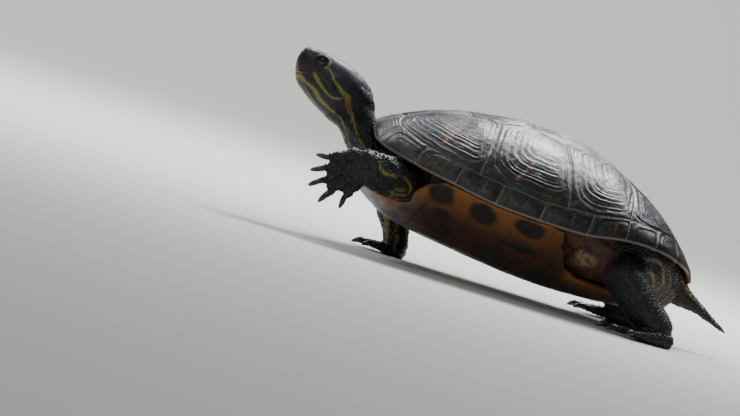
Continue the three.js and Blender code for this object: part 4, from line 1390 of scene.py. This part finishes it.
def bake_places(flesh, roots):
    """The roots' places on the unwrapped flesh."""
    flesh.data.calc_loop_triangles()
    layer = flesh.data.uv_layers.active.data
    triangles = flesh.data.loop_triangles
    tree = BVHTree.FromPolygons([v.co for v in flesh.data.vertices], [t.vertices[:] for t in triangles])
    found = np.empty((len(roots), 2))
    for i, root in enumerate(roots * MM):
        place, _, index, _ = tree.find_nearest(Vector(root))
        triangle = triangles[index]
        a, b, c = (flesh.data.vertices[v].co for v in triangle.vertices)
        flat = [layer[loop].uv.to_3d() for loop in triangle.loops]
        found[i] = barycentric_transform(place, a, b, c, *flat).xy
    return found


def make_scales(body, tree):
    """A coat of scales for each limb, the neck and the tail, joined into one piece each."""
    draw = np.random.default_rng(12)
    mesh = body.data
    places, normals = corners(body), corner_normals(body)
    mesh.calc_loop_triangles()
    faces = np.empty(len(mesh.loop_triangles) * 3, np.int32)
    mesh.loop_triangles.foreach_get("vertices", faces)
    faces = faces.reshape(-1, 3)
    share = draw.dirichlet((1, 1, 1), len(faces))
    points = (places[faces] * share[..., None]).sum(1)
    outward = unit((normals[faces] * share[..., None]).sum(1))
    zones = scale_zones()
    fits = {name: along_line(points, zone[0]) for name, zone in zones.items()}
    nearest = np.stack([fits[name][0] - zone[1] for name, zone in zones.items()])
    # No scales on the head, on the trunk inside the shell, under the soles or on the tip of the tail.
    local, plain = world_to_head(points), points - SHIFT
    covered = local[:, 1] + 0.6 * local[:, 2] < 0
    covered &= ~((np.abs(plain[:, 0]) < 58) & (plain[:, 1] > -72) & (plain[:, 1] < 60) & (plain[:, 2] > 30))
    covered &= ~((outward[:, 2] < -0.7) & (plain[:, 2] < 2))
    covered &= plain[:, 1] < TAIL_BARE_FROM
    flesh = unwrapped_flesh()
    made = []
    for number, (name, (_, reach, first, last)) in enumerate(zones.items()):
        gap, way_along, way = fits[name]
        spacing = first + (last - first) * way_along
        pick = np.flatnonzero(covered & (nearest.argmin(0) == number) & (gap < reach))
        pick = pick[thinned(points[pick], spacing[pick], draw)]
        made.append(scale_piece(
            "scales_" + name, points[pick], outward[pick], way[pick], spacing[pick], tree, flesh, draw))
    bpy.data.objects.remove(flesh)
    return made


def scale_piece(name, roots, outward, way, spacing, tree, flesh, draw):
    """One zone's scales: each a low domed plate whose outline keeps clear of its neighbours'."""
    count = len(roots)
    # Two tangents at each root: the first follows the limb down to its tip.
    along = unit(way - outward * (way * outward).sum(1, keepdims=True) + 1e-6)
    across = np.cross(outward, along)
    near = KDTree(count)
    for i, root in enumerate(roots):
        near.insert(Vector(root), i)
    near.balance()
    others = np.array([[hit[1] for hit in near.find_n(Vector(root), 9)][1:] for root in roots])
    away = roots[others] - roots[:, None]
    a = (away * along[:, None]).sum(2)
    b = (away * across[:, None]).sum(2)
    length = np.hypot(a, b)
    facing = (outward[others] * outward[:, None]).sum(2)
    length = np.where(facing > 0.2, length, OUT_OF_REACH)
    turn = full_turn(SCALE_SIDES)
    lean = np.cos(turn[None, None] - np.arctan2(b, a)[..., None])
    room = (0.5 * length[..., None] / np.maximum(lean, 0.12)).min(1)
    room = np.minimum(room, 0.72 * spacing[:, None]) * SCALE_FILL
    height = 0.2 * spacing * draw.uniform(0.8, 1.1, count)
    cos, sin = np.cos(turn)[None, :, None], np.sin(turn)[None, :, None]
    rim = room[..., None] * (cos * along[:, None] + sin * across[:, None])
    tilt = 1 + 0.3 * cos
    raised = outward[:, None] * height[:, None, None]
    base = roots[:, None]
    points = np.concatenate([
        base + rim - SCALE_SUNK * outward[:, None], base + rim * LAP + raised * 0.8 * tilt, base + raised], 1)
    points[..., 2] = np.maximum(points[..., 2], SCALE_CLEAR)
    each = 2 * SCALE_SIDES + 1
    ring = np.arange(SCALE_SIDES)
    after = (ring + 1) % SCALE_SIDES
    inner = ring + SCALE_SIDES
    pattern = np.concatenate([
        np.stack([ring, after, after + SCALE_SIDES], 1), np.stack([ring, after + SCALE_SIDES, inner], 1),
        np.stack([inner, after + SCALE_SIDES, np.full(SCALE_SIDES, each - 1)], 1)])
    faces = (pattern[None] + each * np.arange(count)[:, None, None]).reshape(-1, 3)
    mesh = bpy.data.meshes.new(name)
    mesh.from_pydata((points.reshape(-1, 3) * MM).tolist(), [], faces.tolist())
    shade_smooth(mesh)
    mesh.update()
    obj = shown(name, mesh)
    own = {"bead": np.full(count, SCALE_BEAD), "tone": draw.uniform(0, 1, count)}
    for field, values in (markings(roots, tree) | own).items():
        add_attribute(obj, field, np.repeat(values, each))
    centre = bake_places(flesh, roots)
    patch = np.stack([np.cos(turn), np.sin(turn)], 1) * BAKE_PATCH
    patch = np.concatenate([patch, patch * LAP, np.zeros((1, 2))])
    flat = (centre[:, None] + patch[None]).reshape(-1, 2)
    layer = mesh.uv_layers.new(name="OFBake")
    layer.data.foreach_set("uv", flat[faces.ravel()].astype(np.float32).ravel())
    return obj


def make_eye(name, which):
    """An eyeball under a clear cornea, with the distance from its middle stored for the iris."""
    centre, axis, ahead, up = eye_frame(which)
    mesh = bpy.data.meshes.new(name)
    with editing(mesh) as bm:
        bmesh.ops.create_uvsphere(bm, u_segments=64, v_segments=40, radius=1)
    obj = shown(name, mesh)
    ball = corners(obj) * MM
    off_axis = np.degrees(np.arccos(np.clip(ball[:, 2], -1, 1)))
    # The clear cornea stands a little over the ball, within 26 degrees of where the eye looks.
    radius = (EYE_RADIUS - 0.25) * (1 + 0.05 * bump(off_axis, 26))
    local = centre + (ball[:, :1] * ahead + ball[:, 1:2] * up + ball[:, 2:] * axis) * radius[:, None]
    add_attribute(obj, "off_axis", off_axis)
    move_corners(obj, head_to_world(local))
    close_up(obj)
    return obj


def make_claws(leg, plan):
    """The curved claws of one foot, each in place of its plain one."""
    at, side, ahead, normal = foot_frame(plan)
    angles, reaches, claw = np.radians(plan[3]), plan[4], plan[7]
    made = []
    # From the root, sunk in the toe, through the toe's tip at 0 to the claw's own tip at 1.
    rows = np.array([-1.0, -0.92, -0.75, -0.4, -0.1, 0.15, 0.3, 0.45, 0.6, 0.75, 0.87, 0.95, 1.0])
    turn = full_turn(18)
    for i, (angle, reach) in enumerate(zip(angles, reaches)):
        way = math.sin(angle) * side + math.cos(angle) * ahead
        across = np.cross(way, normal)
        sink = 0.3 - (0.28 * claw + 0.3) * np.clip(rows, 0, 1) ** 1.8
        centre = at + SHIFT + np.outer(reach + 0.8 + rows * (claw - 0.8), way) + np.outer(sink, normal)
        slim = np.sqrt(np.clip(1 - np.clip(rows, 0, 1) ** 1.6, 0, 1)) * np.sqrt(1 - np.clip(-rows, 0, 1) ** 6)
        wide, high = 1.75 * slim + 0.02, 1.9 * slim + 0.02
        ridge = 1 + 0.12 * np.maximum(np.sin(turn), 0) ** 2
        points = (
            centre[:, None] + (wide[:, None] * np.cos(turn))[..., None] * across
            + (high[:, None] * np.sin(turn) * ridge)[..., None] * normal)
        points[..., 2] = np.maximum(points[..., 2], 0.05)
        name = f"claw_{leg}_{i + 1}"
        piece = sheet_object("horn_" + name, points, True)
        add_attribute(piece, "along", np.repeat(rows, len(turn) + 1))
        close_up(piece)
        made.append((piece, name))
    return made


# ---- Finishes ----
def horn_of_carapace():
    """Keratin horn, grown in layers and worn, damp: slate black with a cool silver gloss.

    The gloss breaks along every growth groove and over fine wrinkles that cross them. Faint tan-orange
    bars lie under the surface of the side scutes, and the seams are thin and pale. A pale line along the
    rim is partly its own cream edge and partly a painted highlight of glare.
    """
    material, tree, shader = new_material("damp_slate_horn", IOR=1.46, Coat_Weight=0.1, Coat_Roughness=0.3)
    place = add(tree, "ShaderNodeTexCoord", out="Object")
    seam, ring, share, bar, rim, growth, radial, upper = (
        add(tree, "ShaderNodeAttribute", out="Fac", attribute_name=field)
        for field in ("seam", "ring", "share", "bar", "rim", "growth", "radial", "upper_seam"))
    # Cloudy change of tone, about 24 mm across, and a grain of 1.5 mm.
    clouds = add(tree, "ShaderNodeTexNoise", {"Vector": place, "Scale": per_mm(24), "Detail": 6})
    grain = add(tree, "ShaderNodeTexNoise", {"Vector": place, "Scale": per_mm(1.5), "Detail": 6})
    upper = add(tree, "ShaderNodeMath", {0: upper}, operation="ABSOLUTE")
    seam = add(tree, "ShaderNodeMath", {0: seam, 1: upper}, operation="MINIMUM")
    from_rim = add(tree, "ShaderNodeMath", {0: rim}, operation="ABSOLUTE")
    # Each field as an amount: where it starts, where it is full, and the most that it covers. Under the rim
    # the horn turns orange-brown, and a pale line runs along the rim itself: partly the rim's own cream edge,
    # partly a painted highlight of glare.
    cloudy, grooved, barred, patchy, in_seam, below, cream_edge_and_glare = (
        add(tree, "ShaderNodeMapRange", {"Value": field, "From Min": start, "From Max": full, "To Max": most})
        for field, start, full, most in (
            (clouds, 0.42, 0.7, 1.0), (ring, 0.2, 1.0, 0.6), (bar, 1.1, -0.8, 0.85), (grain, 0.36, 0.6, 1.0),
            (seam, 0.62, 0.25, 0.5), (rim, -1.5, -3.5, 0.8), (from_rim, 1.4, 0.4, 0.5)))
    # The bars are ragged and half hidden by the horn.
    in_bar = add(tree, "ShaderNodeMath", {0: barred, 1: patchy}, operation="MULTIPLY")
    base = linear("#0d1118")
    # The last layer, the pale line on the rim, is partly the rim's cream edge and partly a painted highlight.
    for amount, colour in (
            (cloudy, "#23221d"), (grooved, "#06080a"), (in_bar, "#9c6b35"), (in_seam, "#86806a"),
            (below, "#74441c"), (cream_edge_and_glare, "#9b9588")):
        layer = {AMOUNT: amount, COLOUR_A: base, COLOUR_B: linear(colour)}
        base = add(tree, "ShaderNodeMix", layer, **COLOURS)
    # Growth lines 1.2 mm apart, crossed by short worm-like wrinkles 1.6 mm apart that run out from the
    # oldest spot: noise laid out along and across the growth lines.
    turn = add(tree, "ShaderNodeMath", {0: growth, 1: 2 * math.pi / 1.2}, operation="MULTIPLY")
    lines = add(tree, "ShaderNodeMath", {0: turn}, operation="SINE")
    scute = add(tree, "ShaderNodeCombineXYZ", {"X": growth, "Y": radial})
    worms = add(tree, "ShaderNodeTexNoise", {"Vector": scute, "Scale": 0.62, "Detail": 2, "Distortion": 1.2})
    fade = add(tree, "ShaderNodeMapRange", {"Value": share, "From Min": 0.1, "From Max": 0.5, "To Min": 0.35})
    lines = add(tree, "ShaderNodeMath", {0: lines, 1: 0.1}, operation="MULTIPLY")
    worms = add(tree, "ShaderNodeMath", {0: worms, 1: 2.0}, operation="MULTIPLY")
    both = add(tree, "ShaderNodeMath", {0: lines, 1: worms}, operation="ADD")
    both = add(tree, "ShaderNodeMath", {0: both, 1: fade}, operation="MULTIPLY")
    height = add(tree, "ShaderNodeMath", {0: both, 1: grain}, operation="ADD")
    rough = add(tree, "ShaderNodeMapRange", {"Value": grain, "To Min": 0.28, "To Max": 0.48})
    raised = add(tree, "ShaderNodeBump", {"Height": height, "Strength": 1.0, "Distance": 0.17 * MM})
    feed(tree, shader, base, rough, raised)
    return material


def horn_of_plastron():
    """Keratin horn of the belly, scuffed: red-brown to pinkish tan with black blotches and orange edges."""
    material, tree, shader = new_material(
        "scuffed_belly_horn", IOR=1.5, Coat_Weight=0.15, Coat_Roughness=0.25)
    place = add(tree, "ShaderNodeTexCoord", out="Object")
    seam, spot, blotch, back, side = (
        add(tree, "ShaderNodeAttribute", out="Fac", attribute_name=field)
        for field in ("seam", "spot", "blotch", "back", "side"))
    clouds = add(tree, "ShaderNodeTexNoise", {"Vector": place, "Scale": per_mm(15), "Detail": 6})
    grain = add(tree, "ShaderNodeTexNoise", {"Vector": place, "Scale": per_mm(1.2), "Detail": 5})
    ochres = {AMOUNT: grain, COLOUR_A: linear("#a06a26"), COLOUR_B: linear("#6b4015")}
    ochre = add(tree, "ShaderNodeMix", ochres, **COLOURS)
    # The rear end of the bridge turns rust-brown towards the fold of skin behind it.
    rise = add(tree, "ShaderNodeMapRange", {"Value": back, "From Min": 120, "From Max": 140, "To Max": 0.8})
    fall = add(tree, "ShaderNodeMapRange", {"Value": back, "From Min": 152, "From Max": 145})
    rusty = add(tree, "ShaderNodeMath", {0: rise, 1: fall}, operation="MULTIPLY")
    base = linear("#4f2611")
    # Each layer covers the last: its field, where the field is 0 and full, how much it covers, its colour.
    for field, start, full, most, colour in (
            (back, 46, 30, 1.0, linear("#8a766d")),  # pinkish front
            (clouds, 0.4, 0.68, 1.0, linear("#28130c")),
            (side, 0.76, 1.0, 1.0, ochre),  # edges and bridge
            (rusty, 0.0, 1.0, 1.0, linear("#3d1e10")),
            (blotch, 1.0, -1.5, 0.8, linear("#1d1412")),
            (spot, 1.2, -1.4, 0.96, linear("#0f0d0e")),
            (seam, 0.6, 0.2, 0.7, linear("#2a1a14"))):
        amount = add(
            tree, "ShaderNodeMapRange", {"Value": field, "From Min": start, "From Max": full, "To Max": most})
        base = add(tree, "ShaderNodeMix", {AMOUNT: amount, COLOUR_A: base, COLOUR_B: colour}, **COLOURS)
    rough = add(tree, "ShaderNodeMapRange", {"Value": grain, "To Min": 0.32, "To Max": 0.6})
    raised = add(tree, "ShaderNodeBump", {"Height": grain, "Strength": 1.0, "Distance": 0.1 * MM})
    feed(tree, shader, base, rough, raised)
    return material


def beaded_skin():
    """Damp granular hide: near black, each bead with its own glint, smooth and sheeny on the head.

    Olive-yellow lines run over it and turn dull orange beside the ear. A thin film of water gives the
    sharp highlights, and the dark base keeps everything between them deep. A pale sheen is painted on crown
    and nape, pale highlights on snout and beak, and a dark shade in the crease of the thigh's fold.
    sharp highlights, and the dark base keeps everything between them deep.
    """
    material, tree, shader = new_material("damp_beaded_hide", IOR=1.42, Coat_Weight=0.15, Coat_Roughness=0.26)
    place = add(tree, "ShaderNodeTexCoord", out="Object")
    line, orange, head, beak, own, bead, pale, tan, ink_and_shade_amount, painted_crown_sheen = (
        add(tree, "ShaderNodeAttribute", out="Fac", attribute_name=field)
        for field in ("stripe", "orange", "head", "beak", "tone", "bead", "pale", "tan", "ink_and_crease_shade", "painted_crown_sheen"))
    # Cloudy change of tone, about 8 mm across, and fine flecks of 1 mm.
    clouds = add(tree, "ShaderNodeTexNoise", {"Vector": place, "Scale": per_mm(8), "Detail": 5})
    flecks = add(tree, "ShaderNodeTexNoise", {"Vector": place, "Scale": per_mm(1.1), "Detail": 4})
    tone = add(tree, "ShaderNodeMath", {0: clouds, 1: own}, operation="MULTIPLY")
    tone = add(tree, "ShaderNodeMapRange", {"Value": tone, "From Min": 0.1, "From Max": 0.5})
    slate, brown, dull = (
        add(tree, "ShaderNodeMath", {0: field, 1: strength}, operation="MULTIPLY")
        for field, strength in ((head, 0.35), (beak, 0.6), (painted_crown_sheen, 0.6)))
    # Painted lines: ragged along the beads, deeper in the flecks, rust-coloured where they turn orange.
    ragged = add(tree, "ShaderNodeMapRange", {"Value": flecks, "To Min": -0.7, "To Max": 0.7})
    edge = add(tree, "ShaderNodeMath", {0: line, 1: ragged}, operation="ADD")
    in_line = add(
        tree, "ShaderNodeMapRange", {"Value": edge, "From Min": 0.3, "From Max": -0.5, "To Max": 0.9})
    warm, paint, rust = (
        add(tree, "ShaderNodeMix", {AMOUNT: by, COLOUR_A: linear(light), COLOUR_B: linear(deep)}, **COLOURS)
        for by, light, deep in (
            (clouds, "#8a5226", "#43200f"), (flecks, "#989242", "#47431d"), (flecks, "#90642f", "#442a10")))
    paint = add(tree, "ShaderNodeMix", {AMOUNT: orange, COLOUR_A: paint, COLOUR_B: rust}, **COLOURS)
    base = linear("#060709")
    # Layered over the dark base: among them a painted sheen on crown and nape, painted highlights of snout
    # and beak among the pale marks, and painted shade in the fold's crease among the dark ones.
    for amount, colour in (
            (tone, linear("#1a1e24")), (slate, linear("#1b1e25")), (brown, linear("#352f26")),
            (dull, linear("#5a5b66")), (tan, warm), (pale, linear("#b9ad8c")), (ink_and_shade_amount, linear("#0b0908")),
            (in_line, paint)):
        base = add(tree, "ShaderNodeMix", {AMOUNT: amount, COLOUR_A: base, COLOUR_B: colour}, **COLOURS)
    # Beads of 1.2 mm on body and limbs, and 0.7 mm on the head, where they are almost flat.
    beads = add(tree, "ShaderNodeTexVoronoi", {"Vector": place, "Scale": per_mm(1.2)}, feature="SMOOTH_F1")
    grains = add(tree, "ShaderNodeTexVoronoi", {"Vector": place, "Scale": per_mm(0.7)}, feature="SMOOTH_F1")
    faint = add(tree, "ShaderNodeMath", {0: grains, 1: 0.16}, operation="MULTIPLY")
    height = add(tree, "ShaderNodeMix", {AMOUNT: head, NUMBER_A: beads, NUMBER_B: faint})
    height = add(tree, "ShaderNodeMath", {0: height, 1: bead}, operation="MULTIPLY")
    raised = add(tree, "ShaderNodeBump", {"Height": height, "Strength": 1.0, "Distance": -0.42 * MM})
    # Every scale has a gloss of its own; bare tan skin and the crown, where a sheen is painted, are dull.
    rough = add(tree, "ShaderNodeMapRange", {"Value": own, "To Min": 0.58, "To Max": 0.32})
    for amount, roughness in ((tan, 0.8), (dull, 0.85)):
        rough = add(tree, "ShaderNodeMix", {AMOUNT: amount, NUMBER_A: rough, NUMBER_B: roughness})
    feed(tree, shader, base, rough, raised)
    return material


def claw_horn():
    """Keratin of the claws: black-brown at the root, paler and slightly clear at the tip."""
    material, tree, shader = new_material("claw_keratin", IOR=1.55, Roughness=0.3, Coat_Weight=0.3)
    along = add(tree, "ShaderNodeAttribute", out="Fac", attribute_name="along")
    root_to_tip = {AMOUNT: along, COLOUR_A: linear("#0c0a09"), COLOUR_B: linear("#2e261d")}
    feed(tree, shader, add(tree, "ShaderNodeMix", root_to_tip, **COLOURS))
    return material


PUPIL_EDGE = 20.5  # degrees from where the eye looks
IRIS_RING = 22.0


def wet_eye():
    """Iris and pupil under a wet cornea: black middle, a thin greenish ring, dark and mottled outside it."""
    material, tree, shader = new_material(
        "wet_eye", IOR=1.34, Roughness=0.2, Coat_Weight=0.35, Coat_Roughness=0.03)
    off = add(tree, "ShaderNodeAttribute", out="Fac", attribute_name="off_axis")
    place = add(tree, "ShaderNodeTexCoord", out="Object")
    fleck = add(tree, "ShaderNodeTexNoise", {"Vector": place, "Scale": per_mm(0.7), "Detail": 4})
    ring = add(tree, "ShaderNodeMath", {0: off, 1: IRIS_RING}, operation="SUBTRACT")
    ring = add(tree, "ShaderNodeMath", {0: ring}, operation="ABSOLUTE")
    in_ring, pupil = (
        add(tree, "ShaderNodeMapRange", {"Value": value, "From Min": start, "From Max": full, "To Max": most})
        for value, start, full, most in ((ring, 3.2, 0.6, 0.75), (off, PUPIL_EDGE, PUPIL_EDGE - 1.5, 1.0)))
    base = linear("#050607")
    for amount, colour in ((fleck, "#1a2010"), (in_ring, "#47552b"), (pupil, "#020203")):
        layer = {AMOUNT: amount, COLOUR_A: base, COLOUR_B: linear(colour)}
        base = add(tree, "ShaderNodeMix", layer, **COLOURS)
    feed(tree, shader, base)
    return material


def pale_floor():
    """Matt painted board, plain and pale."""
    return new_material("matt_pale_board", Roughness=0.85, IOR=1.45, Base_Color=linear("#d8d8d4"))[0]


# ---- Stage, in metres: the floor runs level, turns up behind the animal and ends as a wall ----
FLOOR_FRONT = 6
FLOOR_HALF_WIDTH = 4.5
TURN_STARTS = -2.0
TURN_RADIUS = 1.6
WALL_TOP = 5.0
ROOM_LIGHT = 0.16
# Each lamp: its place, what it is aimed at, size, power in watts, colour.
LAMPS = {
    "key": ((-0.84, 0.18, 1.08), (0, 0, 0.07), 0.34, 20, "#f6f9ff"),
    "rim": ((-1.05, -0.95, 1.2), (0, -0.07, 0.08), 0.34, 10, "#f4f7ff"),
    "rear": ((-0.5, 0.78, 1.18), (0.05, 0.06, 0.06), 0.28, 7, "#f6f9ff"),
    "front_top": ((0.9, -1.1, 1.6), (0, 0, 0.06), 0.7, 5, "#fffdf8"),
    "wash": ((-1.0, 0, 2.3), (-3.0, 0, 0.9), 1.8, 75, "#ffffff"),
    "fill": ((3.4, -0.8, 1.9), (0, 0, 0.05), 1.2, 17, "#fbf8f2"),
}


def make_stage():
    """A pale floor and backdrop, and soft lamps: three over the shell, two on the animal, one on the wall."""
    turn = np.radians(np.arange(5, 91, 5))
    level = np.linspace(FLOOR_FRONT, TURN_STARTS, 30)
    run = np.concatenate([level, TURN_STARTS - TURN_RADIUS * np.sin(turn)])
    climb = np.concatenate([np.zeros(30), TURN_RADIUS * (1 - np.cos(turn))])
    run, climb = np.append(run, run[-1]), np.append(climb, WALL_TOP)
    # It narrows behind, so that it hides as few other views as it can.
    narrow = 1 - 0.7 * smoothstep(-0.7, -1.7, run)
    reach = np.linspace(-FLOOR_HALF_WIDTH, FLOOR_HALF_WIDTH, 40)
    across = narrow[:, None] * reach
    sweep = np.stack([np.broadcast_to(run[:, None], across.shape), across,
                      np.broadcast_to(climb[:, None], across.shape)], -1)
    floor = sheet_object("floor", sweep / MM, False)
    shade_smooth(floor.data)
    if floor.data.polygons[0].normal.z < 0:
        floor.data.flip_normals()
    floor.data.materials.append(pale_floor())
    world = bpy.data.worlds.new("soft_room")
    world.use_nodes = True
    room = world.node_tree.nodes["Background"].inputs
    room["Color"].default_value = linear("#e3e7ea")
    room["Strength"].default_value = ROOM_LIGHT
    bpy.context.scene.world = world
    for name, (place, target, size, power, colour) in LAMPS.items():
        data = bpy.data.lights.new(name, "AREA")
        data.size = size
        data.energy = power
        data.color = linear(colour)[:3]
        aim = (Vector(place) - Vector(target)).to_track_quat("Z", "Y").to_matrix().to_4x4()
        shown(name, data).matrix_world = Matrix.Translation(place) @ aim


# ---- Making ----
make_camera()
make_stage()
dress(make_carapace(), horn_of_carapace(), "shell_horn", "carapace")
dress(make_plastron(), horn_of_plastron(), "belly_horn", "plastron")
hide = beaded_skin()
body = make_skin()
sculpt_skin(body)
skin_tree = surface_tree(body)
lids = make_eyelids(skin_tree)
sink_sockets(body)
paint_skin(body, skin_tree)
paint_skin(lids, skin_tree)
dress(body, hide, "skin", *FLESH)
dress(lids, hide, "skin")
for scales in make_scales(body, skin_tree):
    dress(scales, hide, "skin")
eye_finish = wet_eye()
for label, which in (("left", 1), ("right", -1)):
    dress(make_eye("eyeball_" + label, which), eye_finish, "eye", "eye_" + label)
keratin = claw_horn()
for leg, plan in FEET.items():
    for piece, node in make_claws(leg, plan):
        dress(piece, keratin, "claw", node)
